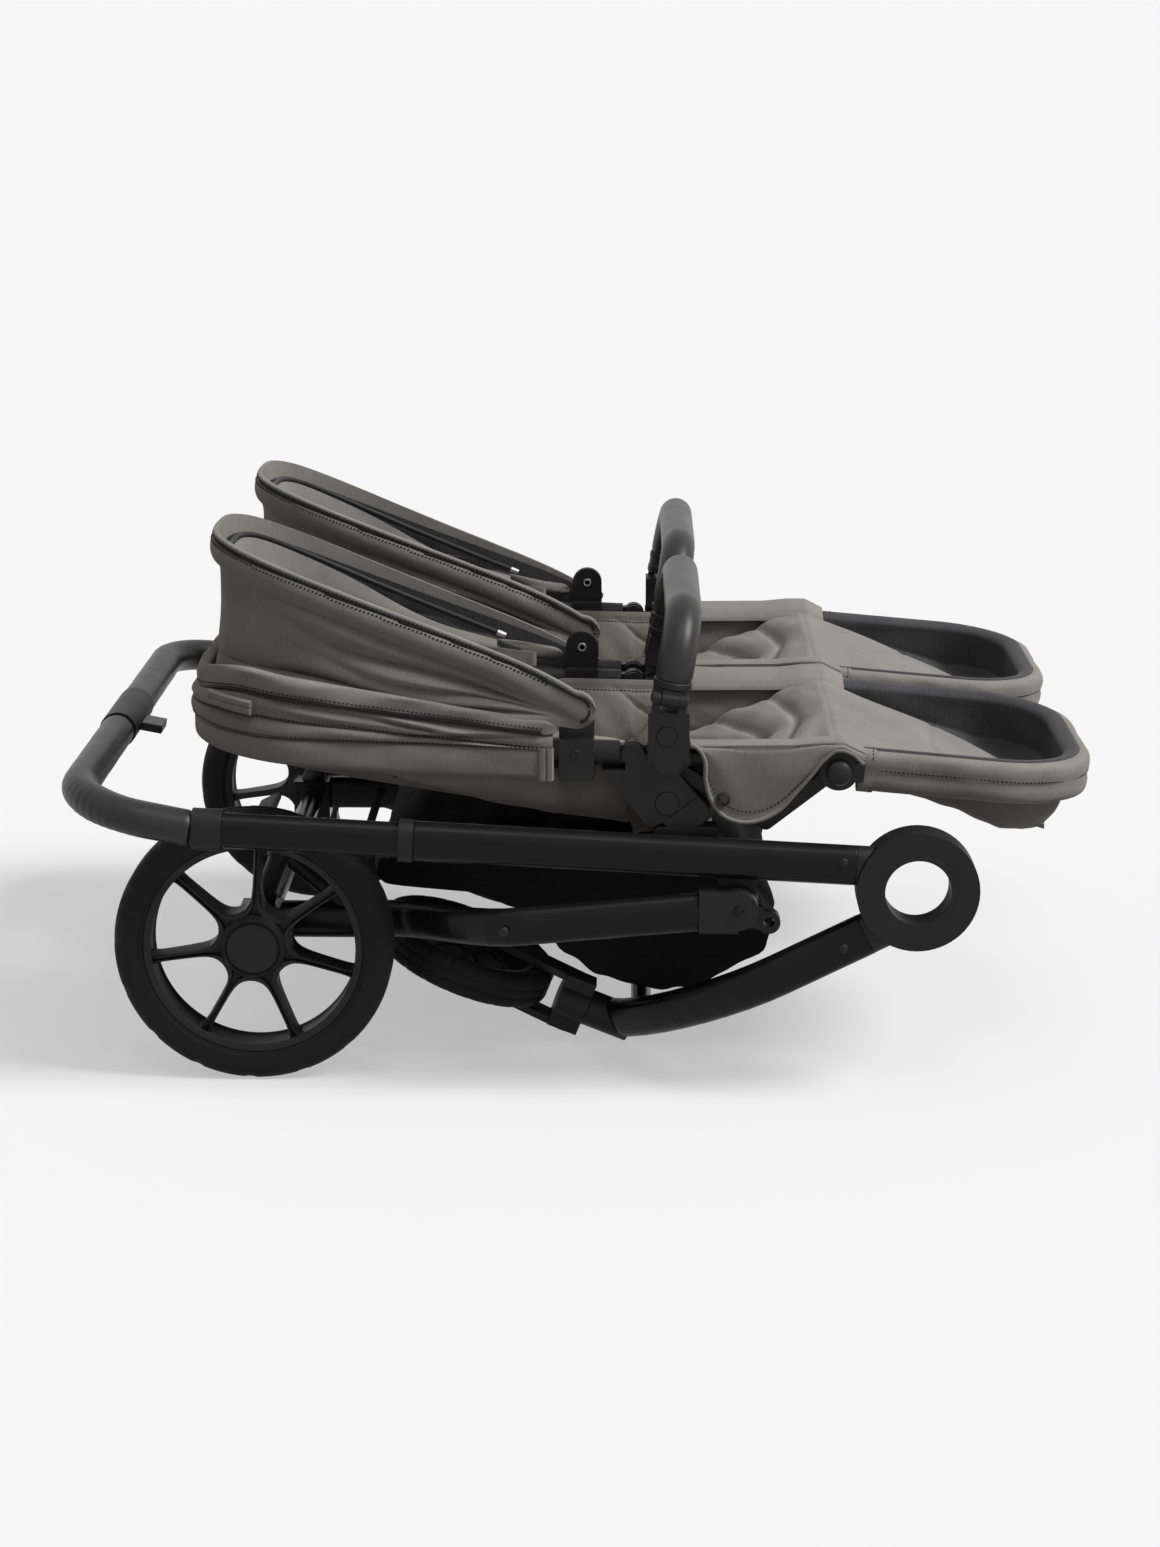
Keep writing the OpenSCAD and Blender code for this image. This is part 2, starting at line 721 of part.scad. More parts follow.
module rear_leg_left() color(BLACK) left_side() rear_leg();

module leg_knuckles() color(PLASTIC) both_sides() difference() {
  plate(rear_leg_y - rear_leg_w / 2, rear_leg_y + rear_leg_w / 2) {
    translate([rear_pivot_x, rear_pivot_z]) circle(r = rear_leg_h / 2 + 1);
    translate([rear_pivot_x - knuckle_len, rear_pivot_z - knuckle_drop - rear_leg_h / 2]) square([knuckle_len, rear_leg_h + 3]);
  }
  bar_y(rear_pivot_x, rear_pivot_z, rear_pin_d + 2 * run_gap, 0, 2 * push_y);
}

module rear_axle() color(BLACK) {
  in_frame() bar_y(0, rear_axle_z, rear_beam_d, -rear_leg_in_y, rear_leg_in_y);
  both_sides() {
    translate([-axle_block, rear_leg_in_y - 18, rear_axle_z - block_h / 2]) cube([2 * axle_block, 36, block_h]);
    bar_y(0, rear_axle_z, rear_axle_d, rear_leg_in_y, rear_track / 2 + rear_tyre_w / 2 - 10);
  }
}

// Dampers stand on the axle blocks and lean on stays from the legs
damper_foot = [0, rear_leg_in_y, rear_axle_z + block_h / 2];
damper_dir = unit([0.36, 0, 0.93]);
damper_len = 70;
damper_d = 22;
seat_len = 16;
head_len = 14;
stay_d = 17;
stay_foot = [rear_c.x - 12, rear_leg_in_y, rear_c.z + 9];

module suspension() both_sides() {
  color(STEEL)
    rod(damper_foot + seat_len * damper_dir, damper_foot + (damper_len - head_len) * damper_dir, damper_d);
  color(PLASTIC) {
    difference() {
      rod(damper_foot - 6 * damper_dir, damper_foot + seat_len * damper_dir, damper_d + 4);
      translate(damper_foot - [40, 40, 80]) cube(80);
    }
    rod(damper_foot + (damper_len - head_len) * damper_dir, damper_foot + damper_len * damper_dir, damper_d + 5);
    difference() {
      rod(stay_foot, damper_foot + (damper_len - head_len / 2) * damper_dir, stay_d);
      rod(damper_foot, damper_foot + 2 * damper_len * damper_dir, damper_d + 5);
      swept_oval(rear_path, rear_leg_w, rear_leg_h);
    }
  }
}

// Cloth basket, collapsed between the legs and hung on the axle blocks and legs
basket_half_w = rear_leg_in_y - rear_leg_w / 2 - clear;
basket_at = [rear_c.x + 8, rear_pivot_z - 22];
basket_side = [[0, 0], [212, -2], [254, -50], [312, -74], [366, -62], [372, -12], [322, 44], [32, 56], [0, 36]];
basket_hem = [rear_c.x - 28, rear_c.z - 1] - basket_at;

module basket() color(LINING) in_frame() {
  plate(-basket_half_w + 12, basket_half_w - 12)
    translate(basket_at) polygon(basket_side);
  plate(-basket_half_w, basket_half_w)
    translate(basket_at) strip_2d([30, 17], basket_hem, 10);
}

// Brake pedal on the axle beam
module brake_pedal() color(PLASTIC) in_frame() translate([0, 0, rear_axle_z]) {
  difference() {
    union() {
      bar_y(0, 0, rear_beam_d + 16, -22, 22);
      plate(-14, 14) strip_2d([-12, 14], [-26, 52], 14);
      plate(-45, 45) strip_2d([-34, 50], [-18, 58], 9);
    }
    bar_y(0, 0, rear_beam_d + 2 * run_gap, -100, 100);
  }
}

module rear_wheel_place() translate([0, rear_track / 2, rear_axle_z]) rotate([-90, 0, 0]) children();

module rear_wheel() rear_wheel_place() {
  wheel(rear_wheel_d, rear_tyre_w, tyre_h, hub_d, rear_axle_d + 2 * run_gap, -spoke_angle);
  translate([0, 0, rear_tyre_w / 2 - 2]) cylinder(d = cap_d, h = 4);
}

module rear_tyre() rear_wheel_place() tyre(rear_wheel_d, rear_tyre_w, tyre_h, rear_shoulder);

module rear_wheel_right() color(PLASTIC) right_side() rear_wheel();

module rear_wheel_left() color(PLASTIC) left_side() rear_wheel();

module rear_tyre_right() color(RUBBER) right_side() rear_tyre();

module rear_tyre_left() color(RUBBER) left_side() rear_tyre();

// Seat frame: brackets on the posts, side rails, struts, cross tubes and knee axle
ear_t = 5.6;
hub_t = bracket_t - 2 * ear_t - 2 * clear;
strut_low = [knee_x - 73, knee_z - 58];
side_rail_y = knee_in + 6;
side_rail_d = 18;
top_rail_end = seam_x + 11;
rail_end_x = knee_x - knee_r - 2;
side_rail_a = [top_rail_end, side_rail_y, top_rail_z - 2];
side_rail_b = [rail_end_x, side_rail_y, knee_z + 1];

module bracket_outline() {
  top = [recline_x + loop_r + 2, top_rail_z];
  polygon([[recline_x - 32, recline_z - 16], [seam_x - 32, seam_z - 22], [seam_x - 18, seam_z - 14],
    [seam_x + 18, seam_z + 14], [seam_x - 2, seam_z + 37], [top_rail_end, top_rail_z - 6],
    [top_rail_end, top_rail_z], top, [top.x, recline_z - 16]]);
}

module bracket() difference() {
  union() {
    plate(bracket_in, bracket_out) difference() {
      bracket_outline();
      seam_2d() translate([-100, -100 + clear]) square([200, 100]);
    }
    translate([recline_x + loop_r + 2, rail_y, top_rail_z]) rotate([0, 90, 0])
      cylinder(r = loop_r, h = top_rail_end - recline_x - loop_r - 2);
    for (y = [bracket_in, bracket_out - ear_t])
      plate(y, y + ear_t) {
        translate([recline_x, recline_z]) circle(r = loop_r);
        translate([recline_x - 8, recline_z - 20]) square([loop_r + 12, 20]);
      }
    bar_y(recline_x, recline_z, 10, bracket_in, bracket_out);
  }
  plate(tongue_y - clear, tongue_y + tongue_t + clear)
    seam_2d() translate([-tongue_w / 2 - clear, -20]) square([tongue_w + 2 * clear, tongue_len + 21]);
  bar_y(seam_x - 14, seam_z + 6, release_d + 2 * clear, bracket_out - 8, bracket_out + 1);
}

module seat_frame() {
  both_rails() {
    bracket();
    difference() {
      union() {
        rod(side_rail_a, side_rail_b, side_rail_d);
        plate(knee_in, knee_in + knee_seat_t) {
          translate([knee_x, knee_z]) circle(r = 16);
          strip_2d([rail_end_x - 14, knee_z + 2], [knee_x, knee_z], 14);
          strip_2d(strut_low, [knee_x, knee_z], 15);
          strip_2d([seam_x + 6, seam_z + 34], strut_low, 15);
        }
      }
      bar_y(knee_x, knee_z, knee_axle_d, 0, seat_y);
    }
  }
  bar_y(knee_x, knee_z, knee_axle_d, -knee_leg_in - knee_leg_t, knee_leg_in + knee_leg_t);
  bar_y(strut_low.x, strut_low.y, 12, -knee_in, knee_in);
}

module seat_frame_right() color(PLASTIC) right_side() seat_place() seat_frame();

module seat_frame_left() color(PLASTIC) left_side() seat_place() seat_frame();

// Seat pad from the back to the knee, and a cloth flap hung over each side rail
flap_in = bracket_out + 1;
flap_t = 3;
cover_gap = 0.3;
side_slope = atan2(top_rail_z - knee_z - 3, rail_end_x - top_rail_end);

module flap_outline() {
  a = [seam_x + 13, top_rail_z + 8];
  low = [seam_x + 92, seam_z - 8];
  c = [knee_x - knee_r - 4, knee_z + 12];
  polygon(concat(
    [for (i = [0:8]) bez(a, [a.x + 30, a.y - 10], [a.x + 22, low.y], low, i / 8)],
    [for (i = [1:8]) bez(low, [low.x + 34, low.y], [c.x - 18, c.y - 34], c, i / 8)]));
}

module seat_pad() {
  cushion([recline_x + 6, recline_z - 96], [knee_x - 5, knee_z + 4], pad_half_w, pad_t, [0.32, 0.66]);
  both_rails() {
    plate(flap_in, flap_in + flap_t) flap_outline();
    rod([seam_x + 16, flap_in + 1, top_rail_z + 7], [rail_end_x - 6, flap_in + 1, knee_z + 12], 6);
  }
  both_rails() difference() {
    translate([seam_x + 14, side_rail_y - 9, top_rail_z - 2]) rotate([0, side_slope, 0])
      cube([rail_end_x - seam_x - 29, flap_in - side_rail_y + 10, 12]);
    rod(2 * side_rail_a - side_rail_b, 2 * side_rail_b - side_rail_a, side_rail_d + 2 * cover_gap);
  }
}

module seat_pad_right() color(CLOTH) right_side() seat_place() seat_pad();

module seat_pad_left() color(CLOTH) left_side() seat_place() seat_pad();

// Back frame: loop tube in a plane that rises to the head end, with the canopy brackets clamped on it
module back_place() translate([recline_x, 0, recline_z]) rotate([0, back_tilt, 0]) children();

clamp_w = 36;
pin_len = bracket_out - rail_y + 2;
plate_in = rail_y - 6;
plate_t = 8;

module loop_rail(d) translate([-loop_len + loop_bend_r, rail_y, 0]) rotate([0, 90, 0])
  cylinder(d = d, h = loop_len - loop_bend_r - loop_r - 2);

module loop_tube() both_rails() {
  loop_rail(loop_d);
  translate([-loop_len + loop_bend_r, rail_y - loop_bend_r, 0]) rotate(90)
    rotate_extrude(angle = 90) translate([loop_bend_r, 0]) circle(d = loop_d);
  bar_y(-loop_len, 0, loop_d, 0, rail_y - loop_bend_r);
}

module back_frame() {
  difference() {
    union() {
      back_place() loop_tube();
      both_rails() plate(rail_y - hub_t / 2, rail_y + hub_t / 2) {
        translate([recline_x, recline_z]) circle(r = loop_r + 1);
        translate([recline_x - loop_r - 6, recline_z - 9]) square([loop_r + 6, 18]);
      }
    }
    bar_y(recline_x, recline_z, 10 + 2 * run_gap, -seat_y, seat_y);
  }
  both_rails() {
    difference() {
      union() {
        translate([canopy_x - clamp_w / 2, bracket_in - 2, recline_z - 27]) cube([clamp_w, bracket_t + 4, 43]);
        plate(plate_in, plate_in + plate_t) {
          translate([canopy_x, canopy_z]) circle(d = clamp_w);
          translate([canopy_x - clamp_w / 2, recline_z + 10]) square([clamp_w, canopy_z - recline_z - 10]);
        }
      }
      back_place() loop_rail(loop_d);
    }
    bar_y(canopy_x, canopy_z, canopy_pin_d, plate_in + plate_t, plate_in + plate_t + pin_len - 5);
  }
}

module back_frame_right() color(BLACK) right_side() seat_place() back_frame();

module back_frame_left() color(BLACK) left_side() seat_place() back_frame();

// Back shell: cloth walls outside the loop, a lip under it, a sloping belly and a pad
shell_head_x = recline_x - loop_len - loop_r - 8;
shell_wall = 3;
shell_out = rail_y + loop_r + clear + shell_wall;
shell_front_x = canopy_x - clamp_w / 2 - 6;
shell_top = recline_z + 34;
shell_low_head = recline_z + 2;
shell_low_front = recline_z - 20;
back_pad_t = 22;
belly_side = [[shell_head_x + 18, recline_z + 3], [shell_head_x + 18, recline_z - 4],
  [recline_x - 278, recline_z - 36], [recline_x - 68, recline_z - 69], [recline_x - 10, recline_z - 92],
  [recline_x - 6, recline_z - 74], [recline_x - 88, recline_z - 38]];
belly_half_w = rail_y - loop_r - 2;

module shell_plan(inset) {
  r = loop_bend_r + 14;
  half = shell_out - inset;
  translate([shell_head_x + r, -half]) square([shell_front_x - shell_head_x - r, 2 * half]);
  for (s = [-1, 1])
    translate([shell_head_x + r, s * (half - r + inset)]) circle(r = r - inset);
  translate([shell_head_x + inset, -half + r]) square([r, 2 * (half - r)]);
}

module shell_block(inset, low) intersection() {
  translate([0, 0, recline_z - 60]) linear_extrude(120) shell_plan(inset);
  plate(-shell_out, shell_out)
    polygon([[shell_head_x, shell_low_head + low], [shell_front_x, shell_low_front + low],
      [shell_front_x, shell_top], [shell_head_x, shell_top]]);
}

module back_shell() {
  difference() {
    union() {
      difference() {
        shell_block(0, 0);
        shell_block(shell_wall, shell_wall);
        translate([0, 0, shell_top]) cube([4 * loop_len, 4 * loop_len, 1], center = true);
      }
      plate(-belly_half_w, belly_half_w) polygon(belly_side);
    }
    back_place() for (s = [0, 1]) mirror([0, s, 0]) loop_rail(loop_d + 2 * clear);
  }
  cushion([shell_head_x + 34, recline_z - 8], [recline_x - 18, recline_z - 62], pad_half_w, back_pad_t, [0.3, 0.62]);
}

module back_shell_right() color(CLOTH) right_side() seat_place() back_shell();

module back_shell_left() color(CLOTH) left_side() seat_place() back_shell();

// Canopy: arches about the pivot, square-shouldered in plan, with an upright rear
function arch(t, angle, half_w, length) =
  let (e = 2 / 3.2, s = length / cos(angle) * pow(abs(cos(t)), e))
  [canopy_x - s * cos(angle), half_w * sign(sin(t)) * pow(abs(sin(t)), e), canopy_z + s * sin(angle)];

module canopy_sheet(low, high, half_w, length, thick, m, k) {
  t_end = 89.2;
  outer = [for (i = [0:m], j = [0:k])
    arch(-t_end + 2 * t_end * i / m, low + (high - low) * j / k, half_w, length)];
  inner = [for (i = [0:m], j = [0:k])
    arch(-t_end + 2 * t_end * i / m, low + (high - low) * j / k, half_w - thick, length - thick)];
  sheet_solid(outer, inner, m, k);
}

// Bow arm from the pivot pin to the side of the cloth
module bow_arm(angle, y0, y1, length) difference() {
  plate(y0, y1) {
    translate([canopy_x, canopy_z]) circle(r = 11);
    strip_2d([canopy_x, canopy_z], [canopy_x - length * cos(angle), canopy_z + length * sin(angle)], 7);
  }
  bar_y(canopy_x, canopy_z, canopy_pin_d + 2 * run_gap, 0, seat_y);
}

arm_t = 3;
band_arm_y = plate_in + plate_t + clear;
hood_arm_y = band_arm_y + arm_t + clear;
band_low_angle = 1;
band_over = 18;

module canopy_band() {
  canopy_sheet(band_low_angle, hood_low_angle - 0.6, hood_half_w, hood_len + band_over, band_t, 30, 2);
  both_rails() bow_arm((band_low_angle + hood_low_angle) / 2, band_arm_y, band_arm_y + arm_t, 60);
}

module canopy_band_right() color(CLOTH) right_side() seat_place() canopy_band();

module canopy_band_left() color(CLOTH) left_side() seat_place() canopy_band();

module canopy_hood() {
  canopy_sheet(hood_low_angle, hood_rim_angle, hood_half_w, hood_len, hood_t, 34, 5);
  both_rails() bow_arm(hood_rim_angle - 8, hood_arm_y, hood_half_w - hood_t + 0.5, 90);
}

module canopy_hood_right() color(CLOTH) right_side() seat_place() canopy_hood();

module canopy_hood_left() color(CLOTH) left_side() seat_place() canopy_hood();

// Bumper bar: local Z leans forward, origin at the foot between the two ferrules
module bar_place() translate([bar_x, 0, bar_z]) rotate([0, bar_lean, 0]) children();

module bar_tube() both_rails() {
  translate([0, rail_y, bar_ferrule_h]) cylinder(d = bar_d, h = bar_h - bar_bend_r - bar_ferrule_h);
  translate([0, rail_y - bar_bend_r, bar_h - bar_bend_r]) rotate([90, 0, 90])
    rotate_extrude(angle = 90) translate([bar_bend_r, 0]) circle(d = bar_d);
  bar_y(0, bar_h, bar_d, 0, rail_y - bar_bend_r);
}

module hinge_bar(r, x0, x1) translate([x0, hinge_y, hinge_z]) rotate([0, 90, 0]) cylinder(r = r, h = x1 - x0);

ear_in = 9.4;
ear_out = 17.4;

module bumper_bar() bar_place() {
  bar_tube();
  difference() {
    union() {
      translate([0, rail_y, clear]) cylinder(d = bar_d + 1, h = bar_ferrule_h - clear);
      hinge_bar(hinge_r, -ear_in + clear, ear_in - clear);
    }
    for (s = [0, 1])
      mirror([s, 0, 0]) hinge_bar(hinge_r + 2, ear_in - clear, ear_out + 4);
    hinge_bar(bar_pin_r + run_gap, -clip_w, clip_w);
  }
  translate([0, -rail_y, 0]) cylinder(d = bar_d + 1, h = bar_ferrule_h);
  translate([-clip_w / 2 + 3, -rail_y - 15, -clip_h + 6]) cube([clip_w - 6, 30, clip_h - 6]);
}

module bumper_bar_right() color(LEATHER) right_side() seat_place() bumper_bar();

module bumper_bar_left() color(LEATHER) left_side() seat_place() bumper_bar();

// Outer clip: block on the top rail, flap down the bracket's outer face, and hinge ears with their pin
clip_button_z = top_rail_z + 24;

module bar_clip() difference() {
  union() {
    translate([bar_x - clip_w / 2, bracket_in, top_rail_z + loop_r])
      cube([clip_w, clip_out - bracket_in, clip_h - 2 - clip_w / 2 * sin(bar_lean)]);
    plate(bracket_out, clip_out) {
      translate([bar_x - clip_w / 2, top_rail_z - 4]) square([clip_w, loop_r + 6]);
      translate([bar_x, top_rail_z - 2]) circle(d = clip_w - 12);
    }
    bar_place() for (s = [0, 1])
      mirror([s, 0, 0]) {
        hinge_bar(hinge_r, ear_in, ear_out);
        translate([ear_in, hinge_y - 3, -9]) cube([ear_out - ear_in, 7, hinge_z + 9]);
      }
    bar_place() hinge_bar(bar_pin_r, -ear_out, ear_out);
  }
  bar_y(bar_x - 2, clip_button_z, clip_button_d + 2 * clear, clip_out - button_travel - 5, clip_out + 1);
}

module bar_clip_right() color(PLASTIC) right_side() seat_place() bar_clip();

module bar_clip_left() color(PLASTIC) left_side() seat_place() bar_clip();

module clip_button() bar_y(bar_x - 2, clip_button_z, clip_button_d, clip_out - 4.6, clip_out + 1);

module clip_button_right() color(PLASTIC) right_side() seat_place() clip_button();

module clip_button_left() color(PLASTIC) left_side() seat_place() clip_button();

module release_button() bar_y(seam_x - 14, seam_z + 6, release_d, bracket_out - 4.6, bracket_out + 1);

module release_button_right() color(PLASTIC) right_side() seat_place() release_button();

module release_button_left() color(PLASTIC) left_side() seat_place() release_button();

// Legrest: loop tube from the knee, padded band around it, calf pad inside
module legrest_place() translate([knee_x, 0, knee_z]) rotate([0, legrest_tilt, 0]) children();

band_start = knee_r + 6 + clear;

module legrest_u(start) both_rails() {
  straight = legrest_len - legrest_bend_r;
  translate([start, legrest_y, 0]) along_x(straight - start) children();
  translate([straight, legrest_y - legrest_bend_r, 0]) rotate_extrude(angle = 90)
    translate([legrest_bend_r, 0]) children();
  translate([legrest_len, 0, 0]) rotate([-90, 0, 0]) linear_extrude(legrest_y - legrest_bend_r)
    mirror([0, 1, 0]) children();
}

module legrest_frame() {
  difference() {
    union() {
      legrest_place() legrest_u(band_start - 9) circle(d = legrest_tube_d);
      both_rails() {
        bar_y(knee_x, knee_z, knee_d, knee_leg_in, knee_leg_in + knee_leg_t);
        legrest_place() translate([knee_r - 8, legrest_y - 7, -9]) cube([14, knee_leg_in + knee_leg_t - legrest_y + 7, 18]);
      }
    }
    bar_y(knee_x, knee_z, knee_d + 2 * clear, -knee_leg_in, knee_leg_in);
    bar_y(knee_x, knee_z, knee_axle_d + 2 * run_gap, -seat_y - 20, seat_y + 20);
  }
  both_rails() bar_y(knee_x, knee_z, knee_d - 14, knee_leg_in + knee_leg_t + 0.2, knee_leg_in + knee_leg_t + 6);
}

module legrest_frame_right() color(PLASTIC) right_side() seat_place() legrest_frame();

module legrest_frame_left() color(PLASTIC) left_side() seat_place() legrest_frame();

module legrest_cover() {
  difference() {
    legrest_place() legrest_u(band_start) square([legrest_band_t, legrest_band_h], center = true);
    legrest_place() legrest_u(0) circle(d = legrest_tube_d + 2 * cover_gap);
  }
  calf_a = [knee_x + 8, knee_z + 12];
  cushion(calf_a, calf_a + calf_len * [cos(calf_tilt), -sin(calf_tilt)],
    legrest_y - legrest_band_t / 2 - clear, calf_t, [0.5], 1);
}

module legrest_cover_right() color(CLOTH) right_side() seat_place() legrest_cover();

module legrest_cover_left() color(CLOTH) left_side() seat_place() legrest_cover();

push_tube_right();
push_tube_left();
tube_collars();
push_rings();
ring_sleeves();
seat_beam();
seat_posts();
leg_brackets();
pivot_pins();
handle_bar();
handle_grips();
grip_ferrules();
handle_sleeve();
handle_trigger();
front_leg_right();
front_leg_left();
front_rings();
front_cross_tube();
caster_sockets();
caster_fork_right();
caster_fork_left();
front_wheel_right();
front_wheel_left();
front_tyre_right();
front_tyre_left();
rear_leg_right();
rear_leg_left();
leg_knuckles();
rear_axle();
suspension();
basket();
brake_pedal();
rear_wheel_right();
rear_wheel_left();
rear_tyre_right();
rear_tyre_left();
seat_frame_right();
seat_frame_left();
seat_pad_right();
seat_pad_left();
back_frame_right();
back_frame_left();
back_shell_right();
back_shell_left();
canopy_band_right();
canopy_band_left();
canopy_hood_right();
canopy_hood_left();
bumper_bar_right();
bumper_bar_left();
bar_clip_right();
bar_clip_left();
clip_button_right();
clip_button_left();
release_button_right();
release_button_left();
legrest_frame_right();
legrest_frame_left();
legrest_cover_right();
legrest_cover_left();
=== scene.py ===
"""Looks of the folded side-by-side twin pram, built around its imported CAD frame."""

import math

import bmesh
import bpy
import numpy as np
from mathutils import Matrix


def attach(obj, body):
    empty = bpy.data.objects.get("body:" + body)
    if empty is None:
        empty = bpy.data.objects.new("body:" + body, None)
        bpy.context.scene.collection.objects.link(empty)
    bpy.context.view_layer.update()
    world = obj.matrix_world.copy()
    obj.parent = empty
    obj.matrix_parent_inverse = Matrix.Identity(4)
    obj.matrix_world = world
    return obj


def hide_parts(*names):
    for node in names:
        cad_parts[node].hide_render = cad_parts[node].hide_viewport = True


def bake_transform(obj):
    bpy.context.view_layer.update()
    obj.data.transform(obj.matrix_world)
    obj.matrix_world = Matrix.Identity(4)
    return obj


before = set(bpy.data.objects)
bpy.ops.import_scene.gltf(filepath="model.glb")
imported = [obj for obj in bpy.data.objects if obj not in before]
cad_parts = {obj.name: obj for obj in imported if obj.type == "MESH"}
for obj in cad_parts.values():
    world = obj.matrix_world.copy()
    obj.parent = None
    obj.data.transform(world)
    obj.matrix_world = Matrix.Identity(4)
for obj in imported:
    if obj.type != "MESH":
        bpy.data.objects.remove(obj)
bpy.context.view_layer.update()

# Chassis: two painted push tubes with moulded hinge rings, seat posts and leg brackets, in their CAD shapes.
# Paint, plastic and steel drift a little in tone under a fine grain, and the shader eases their edges.


def texture(tree, kind, scale, coords="Object", stretch=(1, 1, 1), **settings):
    """A procedural texture that reads Object or UV coordinates, stretched along each axis."""
    where = tree.nodes.new("ShaderNodeTexCoord")
    mapping = tree.nodes.new("ShaderNodeMapping")
    node = tree.nodes.new(kind)
    mapping.inputs["Scale"].default_value = stretch
    node.inputs["Scale"].default_value = scale
    for key, value in settings.items():
        node.inputs[key].default_value = value
    tree.links.new(where.outputs[coords], mapping.inputs["Vector"])
    tree.links.new(mapping.outputs["Vector"], node.inputs["Vector"])
    return node


def ramp(tree, source, dark, light, low=0.3, high=0.7):
    """A colour ramp from dark to light over part of the source's range."""
    node = tree.nodes.new("ShaderNodeValToRGB")
    node.color_ramp.elements[0].position = low
    node.color_ramp.elements[0].color = (*dark, 1)
    node.color_ramp.elements[1].position = high
    node.color_ramp.elements[1].color = (*light, 1)
    tree.links.new(source, node.inputs["Fac"])
    return node.outputs["Color"]


def lift(tree, height, depth, strength=1.0, under=None):
    """A bump of the given depth in millimetres, laid over another normal if there is one."""
    node = tree.nodes.new("ShaderNodeBump")
    node.inputs["Distance"].default_value = depth / 1000
    node.inputs["Strength"].default_value = strength
    tree.links.new(height, node.inputs["Height"])
    if under is not None:
        tree.links.new(under, node.inputs["Normal"])
    return node.outputs["Normal"]


def surface(name, dark, light, rough, patch, grain, depth, bevel=0.0, gloss=0.5, metal=0.0):
    """Material whose colour and roughness drift over patches, with a fine raised grain.
    Patch, grain, depth and bevel are in millimetres; rough holds the two ends of the roughness."""
    made = bpy.data.materials.new(name)
    made.use_nodes = True
    tree = made.node_tree
    shader = tree.nodes["Principled BSDF"]
    shader.inputs["Specular IOR Level"].default_value = gloss
    shader.inputs["Metallic"].default_value = metal
    drift = texture(tree, "ShaderNodeTexNoise", 1000 / patch, Detail=5)
    tree.links.new(ramp(tree, drift.outputs["Fac"], dark, light), shader.inputs["Base Color"])
    polish = tree.nodes.new("ShaderNodeMapRange")
    polish.inputs["From Min"].default_value = 0.3
    polish.inputs["From Max"].default_value = 0.7
    polish.inputs["To Min"].default_value = rough[0]
    polish.inputs["To Max"].default_value = rough[1]
    tree.links.new(drift.outputs["Fac"], polish.inputs["Value"])
    tree.links.new(polish.outputs["Result"], shader.inputs["Roughness"])
    eased = None
    if bevel:
        corner = tree.nodes.new("ShaderNodeBevel")
        corner.samples = 6
        corner.inputs["Radius"].default_value = bevel / 1000
        eased = corner.outputs["Normal"]
    fine = texture(tree, "ShaderNodeTexNoise", 1000 / grain, Detail=2)
    tree.links.new(lift(tree, fine.outputs["Fac"], depth, 0.6, eased), shader.inputs["Normal"])
    return made


def wear(material, slot, *nodes):
    """Gives CAD nodes that stay in view a material in their one material slot; the slot argument is not
    used.
    """
    for node in nodes:
        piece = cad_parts[node]
        piece.data.materials.clear()
        piece.data.materials.append(material)


paint = surface("satin_paint", (0.009, 0.009, 0.010), (0.013, 0.013, 0.014), rough=(0.20, 0.28),
                patch=60, grain=0.5, depth=0.02, bevel=4.5, gloss=0.14)
moulded = surface("moulded_plastic", (0.013, 0.013, 0.014), (0.019, 0.019, 0.020), rough=(0.44, 0.54),
                  patch=40, grain=0.7, depth=0.05, bevel=1.4, gloss=0.22)
steel = surface("brushed_steel", (0.32, 0.32, 0.31), (0.46, 0.45, 0.44), rough=(0.28, 0.42),
                patch=14, grain=0.4, depth=0.02, bevel=0.6, metal=1.0)

wear(paint, "frame_black", "push_tube_right", "push_tube_left", "seat_beam")
wear(moulded, "plastic_black", "tube_collars", "push_rings", "ring_sleeves", "seat_posts", "leg_brackets")
wear(paint, "steel", "pivot_pins")

# Handle: two leather-look grips are swept along the handle's bends and wrinkle on the inside of them.
# Each grip has a sewn seam on its under side; bar, ferrules, sleeve and trigger stay as they are in CAD.
FROM_AXLE = np.array([337.419, 0.0, 0.0])


